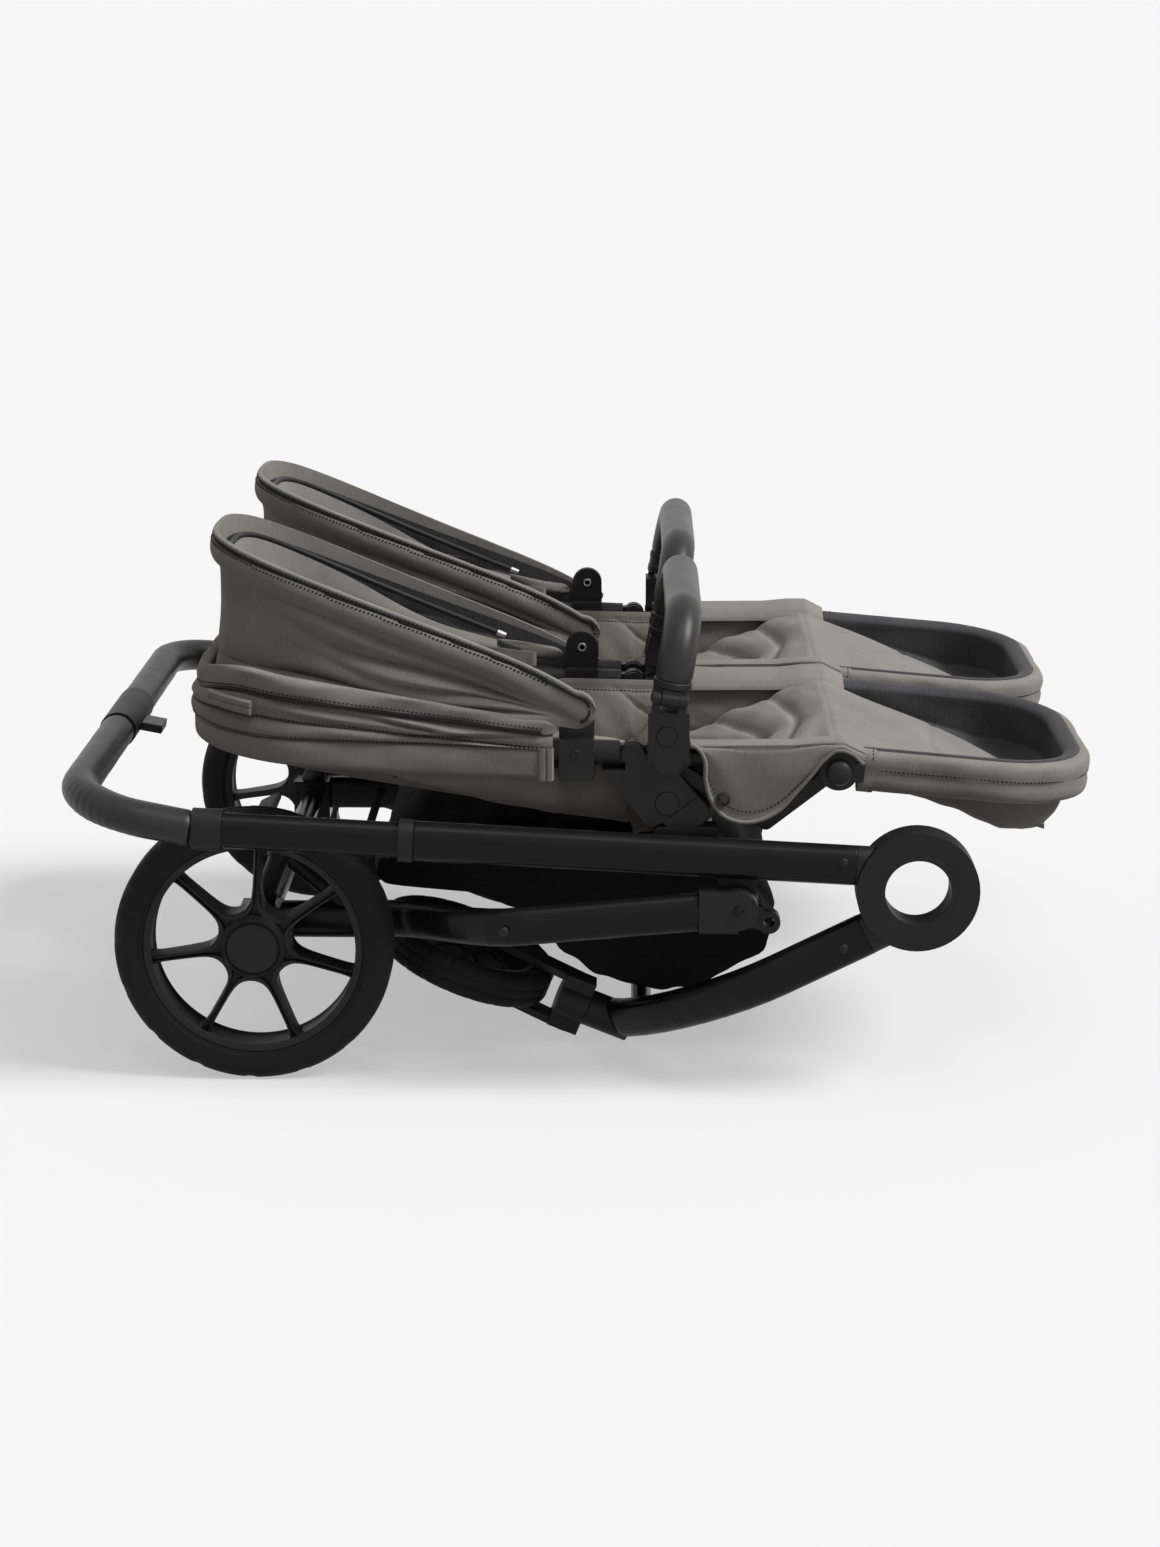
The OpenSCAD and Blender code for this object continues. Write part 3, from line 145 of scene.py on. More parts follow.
def build(name, grids, material, sharp=42):
    """One mesh object from grids of points, in millimetres with X from the rear axle.
    Edges that meet are joined, faces turn outwards, and each grid's UV map holds true lengths in metres."""
    points, faces, maps, first = [], [], [], 0
    for grid in grids:
        rows, cols = grid.shape[:2]
        across = np.linalg.norm(np.diff(grid, axis=1), axis=2).mean(0)
        along = np.linalg.norm(np.diff(grid, axis=0), axis=2).mean(1)
        flat = np.zeros((rows, cols, 2))
        flat[:, 1:, 0] = across.cumsum()
        flat[1:, :, 1] = along.cumsum()[:, None]
        corner = first + (np.arange(rows - 1)[:, None] * cols + np.arange(cols - 1)).ravel()
        faces.append(np.stack([corner, corner + 1, corner + 1 + cols, corner + cols], 1))
        points.append(grid.reshape(-1, 3))
        maps.append(flat.reshape(-1, 2))
        first += rows * cols
    faces = np.concatenate(faces)
    mesh = bpy.data.meshes.new(name)
    mesh.from_pydata((np.concatenate(points) - FROM_AXLE) / 1000, [], faces.tolist())
    corner_map = (np.concatenate(maps) / 1000)[faces.ravel()]
    mesh.uv_layers.new(name="UVMap").data.foreach_set("uv", corner_map.ravel())
    work = bmesh.new()
    work.from_mesh(mesh)
    bmesh.ops.remove_doubles(work, verts=work.verts, dist=2e-6)
    bmesh.ops.recalc_face_normals(work, faces=work.faces)
    work.to_mesh(mesh)
    work.free()
    mesh.shade_smooth()
    mesh.set_sharp_from_angle(angle=math.radians(sharp))
    mesh.materials.append(material)
    piece = bpy.data.objects.new(name, mesh)
    bpy.context.scene.collection.objects.link(piece)
    return piece


def frames_along(path, up):
    """Tangent, side and upward directions at each point of a path."""
    ahead = np.gradient(path, axis=0)
    ahead /= np.linalg.norm(ahead, axis=1)[:, None]
    side = np.cross(np.broadcast_to(np.asarray(up, float), path.shape), ahead)
    side /= np.linalg.norm(side, axis=1)[:, None]
    return ahead, side, np.cross(ahead, side)


def closed(skin, first, last):
    """A skin of rings with one more ring at each end, drawn to a single point."""
    tips = [np.broadcast_to(tip, (1, *skin.shape[1:])) for tip in (first, last)]
    return np.concatenate([tips[0], skin, tips[1]])


def tube(path, radius, sides, up=(0, 0, 1)):
    """Round skin about a path: each ring stands square to it, and the ends are drawn to their middles.
    Radius is one number, or one per ring and corner."""
    path = np.asarray(path, float)
    _, side, above = frames_along(path, up)
    turn = np.linspace(0, 2 * np.pi, sides + 1)[None, :, None]
    reach = np.broadcast_to(radius, (len(path), sides + 1))[..., None]
    skin = path[:, None] + reach * (np.cos(turn) * side[:, None] + np.sin(turn) * above[:, None])
    return closed(skin, path[0], path[-1])


def lengths(path):
    """Distance walked along a path to each of its points."""
    return np.concatenate([[0], np.linalg.norm(np.diff(path, axis=0), axis=1).cumsum()])


def spaced(path, step):
    """A path walked again at even steps."""
    path = np.asarray(path, float)
    far = lengths(path)
    walk = np.linspace(0, far[-1], max(2, int(round(far[-1] / step)) + 1))
    return np.stack([np.interp(walk, far, path[:, k]) for k in range(3)], 1)


def stitches(path, pitch=4.4, length=2.8, thick=0.55, up=(0, 0, 1)):
    """Sewn thread along a path: one short spindle per stitch, five-sided."""
    at = spaced(path, pitch)
    ahead, side, above = frames_along(at, up)
    run = (np.array([-0.5, -0.42, 0.42, 0.5]) * length)[:, None, None]
    girth = (np.array([0.0, 1.0, 1.0, 0.0]) * thick)[:, None, None]
    turn = np.linspace(0, 2 * np.pi, 6)[:, None]
    across = np.cos(turn) * side[:, None] + np.sin(turn) * above[:, None]
    return list(at[:, None, None] + run * ahead[:, None, None] + girth * across[:, None])


def arc(centre, u, v, radius, start, stop, count):
    """Points on an arc in the plane of u and v, angles in degrees."""
    angle = np.radians(np.linspace(start, stop, count))[:, None]
    return np.asarray(centre) + radius * (np.cos(angle) * np.asarray(u) + np.sin(angle) * np.asarray(v))


def dent(distance, width):
    """A soft groove: 1 on the line and 0 a few widths away (the bell of distance over width)."""
    return np.exp(-(distance / width) ** 2)


PUSH_X, PUSH_Y, PUSH_Z = 173, 362, 275
PUSH_TILT = math.radians(3)
ROOT_X = -56.0
HANDLE_ROOT = np.array([ROOT_X, 0.0, PUSH_Z + (PUSH_X - ROOT_X) * math.tan(PUSH_TILT)])
HANDLE_RISE = math.radians(11)
HANDLE_REACH, HANDLE_BEND, SLEEVE_HALF, GRIP_R = 129, 85, 60, 19
BEND_AT, BEND_LONG = 0.26, 0.12
SEAM_TURN = 1.5 * np.pi
SEAM_STITCH = {"pitch": 5, "length": 3.2, "thick": 0.6}
back = np.array([-math.cos(HANDLE_RISE), 0, math.sin(HANDLE_RISE)])
across_y = np.array([0.0, 1.0, 0.0])
SIDES = (("right", -1), ("left", 1))

leather = surface("leather_look", (0.014, 0.014, 0.015), (0.021, 0.021, 0.022), rough=(0.36, 0.44),
                  patch=22, grain=1.1, depth=0.12, gloss=0.34)
thread = surface("black_thread", (0.012, 0.012, 0.012), (0.022, 0.022, 0.022), rough=(0.7, 0.8),
                 patch=8, grain=0.4, depth=0.05, gloss=0.1)

for label, sign in SIDES:
    outward = sign * across_y
    straight = HANDLE_REACH - HANDLE_BEND
    level = np.linspace(PUSH_Y - HANDLE_BEND - 4, SLEEVE_HALF, 60)[:, None]
    line = spaced(np.concatenate([
        HANDLE_ROOT + PUSH_Y * outward + np.linspace(0, straight, 12)[:, None] * back,
        arc(HANDLE_ROOT + (PUSH_Y - HANDLE_BEND) * outward + straight * back,
            outward, back, HANDLE_BEND, 2, 90, 46),
        HANDLE_ROOT + HANDLE_REACH * back + level * outward]), 3)
    along = np.linspace(0, 1, len(line))[:, None]
    turn = np.linspace(0, 2 * np.pi, 25)[None]
    inside = dent(along - BEND_AT, BEND_LONG) * np.clip(-sign * np.cos(turn), 0, 1)
    girth = GRIP_R - 1.5 * dent(np.minimum(along, 1 - along), 0.006)
    girth = girth + 0.5 * inside * np.sin(along * 260) + 0.12 * np.sin(along * 37 + 2 * turn)
    girth = girth - 0.9 * dent(np.mod(turn - SEAM_TURN + np.pi, 2 * np.pi) - np.pi, 0.10)
    grip = build(f"grip_{label}", [tube(line, girth, 24)], leather)
    seam_line = line[3:-3] - GRIP_R * frames_along(line, (0, 0, 1))[2][3:-3]
    seam = build(f"grip_seam_{label}", stitches(seam_line, **SEAM_STITCH), thread)
    for piece in (grip, seam):
        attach(piece, "handle")
    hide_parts("handle_grips")

wear(paint, "frame_black", "handle_bar", "handle_trigger")
wear(moulded, "plastic_black", "grip_ferrules", "handle_sleeve")

# Front frame and casters: two bent, painted legs and a cross tube, fixed in moulded rings and sockets.
# The moulded caster forks turn in the sockets. All of them keep their CAD shapes.
wear(paint, "frame_black", "front_leg_right", "front_leg_left", "front_cross_tube")
wear(moulded, "plastic_black", "front_rings", "caster_sockets", "caster_fork_right", "caster_fork_left")

# Wheels: turned rims and hubs with seven flared channel spokes, and tyres with notched shoulders.
# The rear wheels stand upright on the axle; the front wheels lie flat in their folded forks.
SPOKES = 7


def turned(profile, centre, axes, steps=168, shift=None):
    """A profile of radius and height turned about the third axis.
    Shift is a function of angle and profile point that adds to the radius."""
    spin = np.linspace(0, 2 * np.pi, steps + 1)
    spin[-1] = spin[0]
    reach = np.broadcast_to(profile[:, 0], (len(spin), len(profile)))
    if shift is not None:
        reach = reach + shift(spin[:, None], np.arange(len(profile))[None])
    radial = np.cos(spin)[:, None, None] * axes[0] + np.sin(spin)[:, None, None] * axes[1]
    return np.asarray(centre, float) + reach[..., None] * radial + profile[None, :, 1, None] * axes[2]


def facing(sign):
    """Axes of a piece that is turned about Y and faces along Y by the sign."""
    return np.array([[1, 0, 0], [0, 0, 1], [0, sign, 0]], float)


def rounded(corners, radius=2.0, count=5):
    """A closed outline with each corner replaced by a small curve."""
    corners = np.asarray(corners, float)
    cuts = []
    for turn in (1, -1):
        side = np.roll(corners, turn, 0) - corners
        long = np.linalg.norm(side, axis=1)[:, None]
        cuts.append((corners + side * np.minimum(radius, long * 0.45) / long)[:, None])
    t = np.linspace(0, 1, count)[None, :, None]
    eased = ((1 - t) ** 2 * cuts[0] + 2 * t * (1 - t) * corners[:, None] + t ** 2 * cuts[1]).reshape(-1, 2)
    return np.concatenate([eased, eased[:1]])


def spoke(angle, hub, rim, half, depth, centre, axes):
    """A bar from hub to rim, flared into its neighbours at the hub, with a channel down its outer face."""
    r = np.linspace(hub - 6, rim + 2, 26)
    wide = half + 10 * np.exp(-np.maximum(r - hub - 4, -4) / 7) + 2.0 * np.exp(-(rim - r) / 4)
    outline = np.array([[-1, -1], [1, -1], [1, 0.82], [0.72, 1], [0.42, 1], [0.3, 0.62], [-0.3, 0.62],
                        [-0.42, 1], [-0.72, 1], [-1, 0.82], [-1, -1]])
    tall = depth * (1 - 0.25 * (r - hub) / (rim - hub))
    away = math.cos(angle) * axes[0] + math.sin(angle) * axes[1]
    side = -math.sin(angle) * axes[0] + math.cos(angle) * axes[1]
    ring = (centre + r[:, None, None] * away + (wide[:, None] * outline[:, 0])[..., None] * side
            + (tall[:, None] * outline[:, 1])[..., None] * axes[2])
    return closed(ring, ring[0].mean(0), ring[-1].mean(0))


def wheel(name, centre, axes, radius, width, rise, hub, cap, first, half):
    """Rim, hub, spokes and cap in one mesh."""
    rim = radius - rise
    flat = width / 2 - 5
    face = width / 2 - 2
    bed = rounded([[rim - 9, -flat], [rim - 0.2, -flat - 2], [rim - 0.2, flat + 2], [rim - 9, flat],
                   [rim - 6, flat - 5], [rim - 6, 5 - flat]])
    middle = np.array([[0, -face], [hub - 2, -face], [hub, -face + 3], [hub + 2, face - 6],
                       [hub - 2, face - 1], [cap + 2.2, face], [cap + 0.8, face - 2.2],
                       [cap - 0.6, face - 2.2], [cap - 1.2, face + 0.8], [cap - 4, face + 1.6],
                       [0, face + 2.4]])
    spokes = [spoke(first + 2 * math.pi * i / SPOKES, hub, rim - 7, half, width / 2 - 8, centre, axes)
              for i in range(SPOKES)]
    return build(name, [turned(bed, centre, axes), turned(middle, centre, axes, 96), *spokes], moulded, 32)


def tyre(name, centre, axes, radius, width, rise, shoulder, notches):
    """Tyre with a round crown, shoulder notches at even angles and two grooves round the tread."""
    turn = np.radians(np.linspace(0, 90, 9))
    round_r = radius - shoulder * (1 - np.cos(turn))
    round_h = width / 2 - shoulder * (1 - np.sin(turn))
    flat = width / 2 - shoulder
    crown = np.linspace(-0.9, 0.9, 15) * flat
    tread = radius - 1.2 * dent(np.abs(crown) - flat * 0.5, 1.3)
    bead = radius - rise
    half = np.concatenate([np.stack([round_r, -round_h], 1)[::-1], np.stack([tread, crown], 1),
                           np.stack([round_r, round_h], 1)])
    side = width / 2
    wall = np.array([[bead + rise * 0.45, side + 0.4], [bead + 4, side - 0.6], [bead + 3, side - 2.4],
                     [bead, side - 3.4]])
    profile = np.concatenate([half, wall, wall[::-1] * [1, -1], half[:1]])
    edge = dent(profile[:, 0] - radius + shoulder * 0.35, shoulder * 0.4)
    edge = edge * (np.abs(profile[:, 1]) > width * 0.22)

    def cut(spin, index):
        """Depth of the shoulder notches: a clipped cosine round the tyre, out of step on its two sides."""
        wave = np.clip(np.cos(notches * spin + 0.8 * np.sign(profile[index, 1])) * 4 - 3.0, 0, 1)
        return -2.0 * wave * edge[index]

    return build(name, [turned(profile, centre, axes, 352, cut)], rubber, 30)


rubber = surface("tyre_rubber", (0.011, 0.011, 0.011), (0.017, 0.017, 0.017), rough=(0.6, 0.74),
                 patch=30, grain=0.9, depth=0.10, gloss=0.16)
REAR_Y = 312
REAR_SIZE = {"radius": 147, "width": 46, "rise": 31}
FRONT_SIZE = {"radius": 100, "width": 38, "rise": 22}
CASTER_TILT = math.radians(22)
CASTER_TRAIL, CASTER_SIDE = 176, 30
CASTER_FOOT = np.array([378, 205, 20 * math.cos(CASTER_TILT) + 20 * math.sin(CASTER_TILT)])
caster_out = np.array([-math.cos(CASTER_TILT), 0, math.sin(CASTER_TILT)])

for label, sign in SIDES:
    rear = (np.array([0, sign * REAR_Y, REAR_SIZE["radius"]]), facing(sign))
    front = (CASTER_FOOT * [1, sign, 1] + CASTER_TRAIL * caster_out - [0, sign * CASTER_SIDE, 0],
             np.array([caster_out, [0, sign, 0], [math.sin(CASTER_TILT), 0, math.cos(CASTER_TILT)]]))
    made = (
        (wheel(f"rear_rim_{label}", *rear, **REAR_SIZE, hub=33, cap=27.5, first=math.radians(86), half=3.7),
         f"wheel_rear_{label}", f"rear_wheel_{label}", "plastic_black"),
        (tyre(f"rear_tyre_skin_{label}", *rear, **REAR_SIZE, shoulder=13, notches=16),
         f"wheel_rear_{label}", f"rear_tyre_{label}", "tyre_rubber"),
        (wheel(f"front_rim_{label}", *front, **FRONT_SIZE, hub=22, cap=15, first=0.0, half=3.4),
         f"wheel_front_{label}", f"front_wheel_{label}", "plastic_black"),
        (tyre(f"front_tyre_skin_{label}", *front, **FRONT_SIZE, shoulder=8.5, notches=22),
         f"wheel_front_{label}", f"front_tyre_{label}", "tyre_rubber"))
    for piece, body, node, slot in made:
        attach(piece, body)
        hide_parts(node)

# Rear frame: legs, knuckles, axle, dampers and brake pedal as in CAD, and the collapsed cloth basket.
# The basket is a slack black bag whose skin falls in folds between its hems.
wear(paint, "frame_black", "rear_leg_right", "rear_leg_left", "rear_axle")
wear(moulded, "plastic_black", "leg_knuckles", "suspension", "brake_pedal")


def weave(name, dark, light, yarn=0.9, depth=0.14, fleck=2.6, rough=0.82, gloss=0.12, sheen=0.0):
    """Plain-weave cloth on the UV map: crossed yarn waves raise it and flecks along the weft tint it.
    Yarn, depth and fleck are in millimetres."""
    made = bpy.data.materials.new(name)
    made.use_nodes = True
    tree = made.node_tree
    shader = tree.nodes["Principled BSDF"]
    shader.inputs["Roughness"].default_value = rough
    shader.inputs["Specular IOR Level"].default_value = gloss
    shader.inputs["Sheen Weight"].default_value = sheen
    crossed = tree.nodes.new("ShaderNodeMath")
    crossed.operation = "MULTIPLY"
    for slot, direction in enumerate(("X", "Y")):
        wave = texture(tree, "ShaderNodeTexWave", 2 * math.pi / (20 * yarn / 1000), "UV", Distortion=0.6)
        wave.bands_direction = direction
        tree.links.new(wave.outputs["Fac"], crossed.inputs[slot])
    flecks = texture(tree, "ShaderNodeTexNoise", 1000 / fleck, "UV", (0.3, 1, 1), Detail=3)
    patches = texture(tree, "ShaderNodeTexNoise", 16, "Object", Detail=3)
    both = tree.nodes.new("ShaderNodeMath")
    both.operation = "MULTIPLY_ADD"
    both.inputs[1].default_value = 0.55
    tree.links.new(patches.outputs["Fac"], both.inputs[0])
    half = tree.nodes.new("ShaderNodeMath")
    half.operation = "MULTIPLY"
    half.inputs[1].default_value = 0.45
    tree.links.new(flecks.outputs["Fac"], half.inputs[0])
    tree.links.new(half.outputs["Value"], both.inputs[2])
    tree.links.new(ramp(tree, both.outputs["Value"], dark, light, 0.36, 0.64), shader.inputs["Base Color"])
    slub = lift(tree, flecks.outputs["Fac"], depth, 0.5)
    tree.links.new(lift(tree, crossed.outputs["Value"], depth, 0.7, slub), shader.inputs["Normal"])
    return made


def ripple(*waves):
    """Sum of plain waves: each entry is amplitude, then angle."""
    return sum(height * np.sin(angle) for height, angle in waves)


basket_cloth = weave("basket_cloth", (0.014, 0.014, 0.014), (0.026, 0.026, 0.027),
                     yarn=1.4, depth=0.3, fleck=4, gloss=0.1)
BASKET_HALF, BASKET_EASE = 226, 24
BASKET_TIE, TIE_DEEP = 0.55, 4
HEM_X, HEM_HALF, HEM_Z, HEM_R = 84.0, 234, 154.0, 5.2
basket_corners = [[112, 184], [226, 174], [290, 147], [318, 108], [376, 66], [476, 60],
                  [556, 118], [562, 146], [520, 180], [440, 229], [150, 241], [118, 221]]
outline = spaced(np.pad(rounded(basket_corners, BASKET_EASE, 8), ((0, 0), (0, 1))), 7)[:, :2]
across = np.linspace(-1, 1, 84)[:, None]
bag_y = BASKET_HALF * np.sign(across) * (1 - (1 - np.abs(across)) ** 1.6)
fullness = np.clip((1 - np.abs(across)) * 9, 0, 1) ** 0.45
run = np.linspace(0, 2 * np.pi, len(outline))[None]
middle = outline.mean(0)
bag = middle + (outline - middle) * (0.02 + 0.96 * fullness)[..., None]
turnout = (outline - middle) / np.linalg.norm(outline - middle, axis=1)[:, None]
slack = ripple((2.6, 9 * run + 7 * across), (1.8, 16 * run - 11 * across + 1), (1.4, 25 * run + 5 * across))
slack = slack - 2.4 - TIE_DEEP * dent(np.abs(across) - BASKET_TIE, 0.05)
bag = bag + (slack * fullness)[..., None] * turnout
bag = np.insert(bag, 1, 0, 2)
bag[..., 1] = bag_y
bag[:, -1] = bag[:, 0]
basket = build("basket_bag", [closed(bag, bag[0].mean(0), bag[-1].mean(0))], basket_cloth)
hem_path = np.stack([np.full(60, HEM_X), np.linspace(-HEM_HALF, HEM_HALF, 60), np.full(60, HEM_Z)], 1)
hem_thread = stitches(hem_path + [3, 0, 4.6], pitch=6, length=4, thick=0.6)
hem = build("basket_hem", [tube(hem_path, HEM_R, 12), *hem_thread], basket_cloth)
for piece in (basket, hem):
    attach(piece, "rear_frame")
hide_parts("basket")

# Seats: brackets, clips, buttons and rails as in CAD, with padded seats, cloth side walls and bound flaps.
# The pad rises to the knee ridge and is quilted in chevron channels.
# Each wall is sewn from back to seat, and each flap hangs over the rail and the knee with one snap.
SEAT_Y = 180
for label, sign in SIDES:
    wear(moulded, "plastic_black", f"seat_frame_{label}", f"bar_clip_{label}", f"clip_button_{label}",
         f"release_button_{label}")


def on_seat(grid, sign):
    """Moves points from a seat's own middle, Y outwards, to its side of the pram."""
    return grid * [1, sign, 1] + [0, sign * SEAT_Y, 0]


def two_faced(outer, inner):
    """Both faces of a cloth or pad and the four edges that close it."""
    return [outer, inner, np.stack([outer[0], inner[0]]), np.stack([outer[-1], inner[-1]]),
            np.stack([outer[:, 0], inner[:, 0]]), np.stack([outer[:, -1], inner[:, -1]])]


def seat_piece(name, faces, sign, material, sharp=60):
    """A piece of one seat, built from grids that lie about the seat's own middle."""
    return build(name, [on_seat(grid, sign) for grid in faces], material, sharp)


def shares(rows, cols, low=-1):
    """Two shares over a grid: from 0 to 1 along its rows, and from low to 1 across them."""
    return np.meshgrid(np.linspace(0, 1, rows), np.linspace(low, 1, cols), indexing="ij")


def curve(points, count):
    """A smooth line through points, walked at even steps (cubic pieces that share their slopes)."""
    points = np.asarray(points, float)
    far = lengths(points)
    slope = np.gradient(points, far, axis=0)
    walk = np.linspace(0, far[-1], count)
    k = np.clip(np.searchsorted(far, walk, side="right") - 1, 0, len(far) - 2)
    gap = (far[k + 1] - far[k])[:, None]
    t = (walk - far[k])[:, None] / gap
    return ((2 * t ** 3 - 3 * t ** 2 + 1) * points[k] + (t ** 3 - 2 * t ** 2 + t) * gap * slope[k]
            + (3 * t ** 2 - 2 * t ** 3) * points[k + 1] + (t ** 3 - t ** 2) * gap * slope[k + 1])


taupe = weave("taupe_cloth", (0.244, 0.228, 0.208), (0.314, 0.295, 0.273), sheen=0.12)
lining = weave("black_lining", (0.030, 0.030, 0.032), (0.055, 0.055, 0.059),
               yarn=2.6, depth=0.5, fleck=3, rough=0.62, gloss=0.3)

RIDGE_X, RIDGE_Z = 606, 374
PAD_REAR, PAD_Z, PAD_LOW, PAD_THICK = 398, 288, 268, 24
u, v = shares(90, 96)
pad_x = PAD_REAR + (RIDGE_X - PAD_REAR) * u
pad_half = 134 + 13 * u ** 4
bend_v = np.sqrt(v ** 2 + 0.03)
fold_line = RIDGE_X - 84 - 104 * bend_v
climb = np.clip((pad_x - fold_line) / (RIDGE_X - fold_line), 0, 1)
pad_z = PAD_Z + 0.09 * (pad_x - PAD_REAR) * (1 - climb) + (RIDGE_Z - PAD_Z) * climb ** 0.85
pad_z = pad_z + 5 * (1 - v ** 2) - 7 * np.abs(v) ** 8 - 10 * np.abs(v) ** 24
for share in (0.02, 0.34, 0.68):
    channel = (climb - share) * (RIDGE_X - fold_line)
    pad_z = pad_z - 4.2 * dent(channel, 5.5) * (1 - 0.6 * np.abs(v) ** 6)
    pad_z = pad_z + 3.0 * dent(channel - 20, 12) * np.clip(0.3 + 2.2 * np.abs(v), 0, 1)
pad_z = pad_z + ripple((0.6, 27 * u + 7 * v), (0.4, 15 * v - 21 * u)) - 2.5 * dent(pad_x - RIDGE_X, 3)
pad_top = np.stack([pad_x, pad_half * v, pad_z], -1)
pad_low = PAD_LOW + (RIDGE_Z - PAD_THICK - PAD_LOW) * u - 3 * (1 - v ** 2)
pad_under = np.stack([pad_x, (pad_half - 2) * v, pad_low], -1)

WALL_REAR, WALL_FRONT, WALL_Y, CROSS_AT = 302, 600, 140, 425
along, down = shares(100, 30, 0)
wall_x = WALL_REAR + (WALL_FRONT - WALL_REAR) * along
hem_z = 369 - 0.02 * (wall_x - 330) - 8 * dent(wall_x - WALL_REAR, 9)
floor_rise = np.clip((wall_x - PAD_REAR) / (RIDGE_X - PAD_REAR), 0, 1) ** 0.92
wall_floor = np.where(wall_x < PAD_REAR, 292 + 0.12 * (PAD_REAR - wall_x),
                      284 + (RIDGE_Z - 296) * floor_rise)
wall_z = hem_z + (wall_floor - 10 - hem_z) * down
free = np.sin(np.pi * down)
bulge = 6 * free * np.clip((hem_z - wall_floor) / 60, 0, 1)
cross_seams = sum(dent(wall_x - CROSS_AT - lean * (down - 0.5), 3.2) for lean in (120, -120))
wall_in = WALL_Y - 8 * down - bulge + 3.0 * cross_seams * free + 1.8 * dent(down - 0.12, 0.03)
wall_in = wall_in + ripple((0.7, 0.08 * wall_x + 5 * down), (0.5, 0.15 * wall_x - 8 * down)) * free

FLAP_REAR, FLAP_LONG, FLAP_CURL = 456, 178, 0.22
RAIL_MID, CURL_R, CLOTH_THICK = 150.5, 22.5, 2.4
flap_edge = curve([[456, 377], [465, 371], [471, 360], [472, 340], [478, 318], [490, 302], [508, 295],
                   [528, 297], [548, 308], [563, 325], [578, 343], [592, 361], [606, 371], [621, 367],
                   [632, 357]], 110)
flap_a, flap_b = shares(110, 46, 0)
fold_x = FLAP_REAR + FLAP_LONG * flap_a
fold_z = np.interp(fold_x, [456, 560, 590, 612, 634], [378, 379, 382, 382, 371])
curl = np.clip(flap_b / FLAP_CURL, 0, 1)
drop = np.clip((flap_b - FLAP_CURL) / (1 - FLAP_CURL), 0, 1)
flap_x = fold_x + (flap_edge[:, :1] - fold_x) * drop
flap_z = fold_z - 16 * (1 - curl) ** 2 + 2 * np.sin(curl * np.pi) - 5 * curl ** 3
flap_z = flap_z + (flap_edge[:, 1:] - fold_z + 5) * drop
flap_y = RAIL_MID - CURL_R * np.cos(curl * np.pi) + 3.2 * np.sin(np.pi * drop) + 2.0 * dent(1 - drop, 0.08)
flap_sway = ripple((1.5, 9 * flap_a + 4 * drop + 0.6), (1.0, 19 * flap_a - 7 * drop))
flap_y = flap_y + flap_sway * drop * (1 - 0.6 * drop) - 1.6 * dent(flap_b - FLAP_CURL - 0.02, 0.02)
SNAP_X, SNAP_Y, SNAP_Z = 490.0, 177.6, 319.0
snap_profile = np.array([[5.4, -3], [6.8, -3], [7, 0.4], [6.4, 0.9], [5.7, 0.8], [5.4, -3]])

for label, sign in SIDES:
    body = f"seat_{label}"
    pad = seat_piece(f"seat_cushion_{label}", two_faced(pad_top, pad_under), sign, taupe)
    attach(pad, body)
    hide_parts(f"seat_pad_{label}")
    for hand, flip in (("outer", 1), ("inner", -1)):
        inner_face = np.stack([wall_x, flip * wall_in, wall_z], -1)
        wall_faces = two_faced(inner_face, inner_face + [0, flip * 2.0, 0])
        wall = seat_piece(f"seat_wall_{hand}_{label}", wall_faces, sign, taupe)
        edge = on_seat(inner_face[:, 4] - [0, flip * 0.5, 0], sign)
        hem_rows = stitches(edge) + stitches(edge - [0, 0, 4])
        hemline = build(f"seat_wall_stitch_{hand}_{label}", hem_rows, thread)
        for piece in (wall, hemline):
            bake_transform(piece)
        face = np.stack([flap_x, flip * flap_y, flap_z], -1)
        under = np.stack([flap_x, flip * (flap_y - CLOTH_THICK), flap_z - CLOTH_THICK * (1 - drop)], -1)
        flap = seat_piece(f"seat_flap_{hand}_{label}", two_faced(face, under), sign, taupe)
        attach(flap, body)
        sewn_edge = on_seat(face[3:-3, -6] + [0, flip * 0.9, 0], sign)
        bound_edge = tube(on_seat(face[:, -1], sign), 2.3, 10, across_y)
        binding = build(f"flap_binding_{hand}_{label}", [bound_edge], taupe)
        hem_sewn = build(f"flap_stitch_{hand}_{label}", stitches(sewn_edge, up=across_y), thread)
        snap_at = on_seat(np.array([SNAP_X, flip * SNAP_Y, SNAP_Z]), sign)
        snap_ring = turned(snap_profile, snap_at, facing(flip * sign), 40)
        snap = build(f"flap_snap_{hand}_{label}", [snap_ring], moulded)
        for piece in (binding, hem_sewn, snap):
            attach(piece, body)

# Backs: loop tubes and canopy brackets as in CAD, in cloth shells of three sewn panels over a slack belly.
# A quilted pad lies inside each, and a strip of cloth bridges it to the seat pad across the recline joint.
# Webbing closes the shell's front, and a strap loop is sewn at its rear corner.
for label, sign in SIDES:
    wear(moulded, "plastic_black", f"back_frame_{label}")


def even_steps(path, count):
    """A flat outline walked at even steps: X, Y and outward normals, for a line that turns from -Y to +Y."""
    far = lengths(path)
    walk = np.linspace(0, far[-1], count)
    path = np.stack([np.interp(walk, far, path[:, k]) for k in range(2)], 1)
    ahead = np.gradient(path, axis=0)
    ahead /= np.linalg.norm(ahead, axis=1)[:, None]
    return path[:, 0], path[:, 1], np.stack([-ahead[:, 1], ahead[:, 0]], 1)


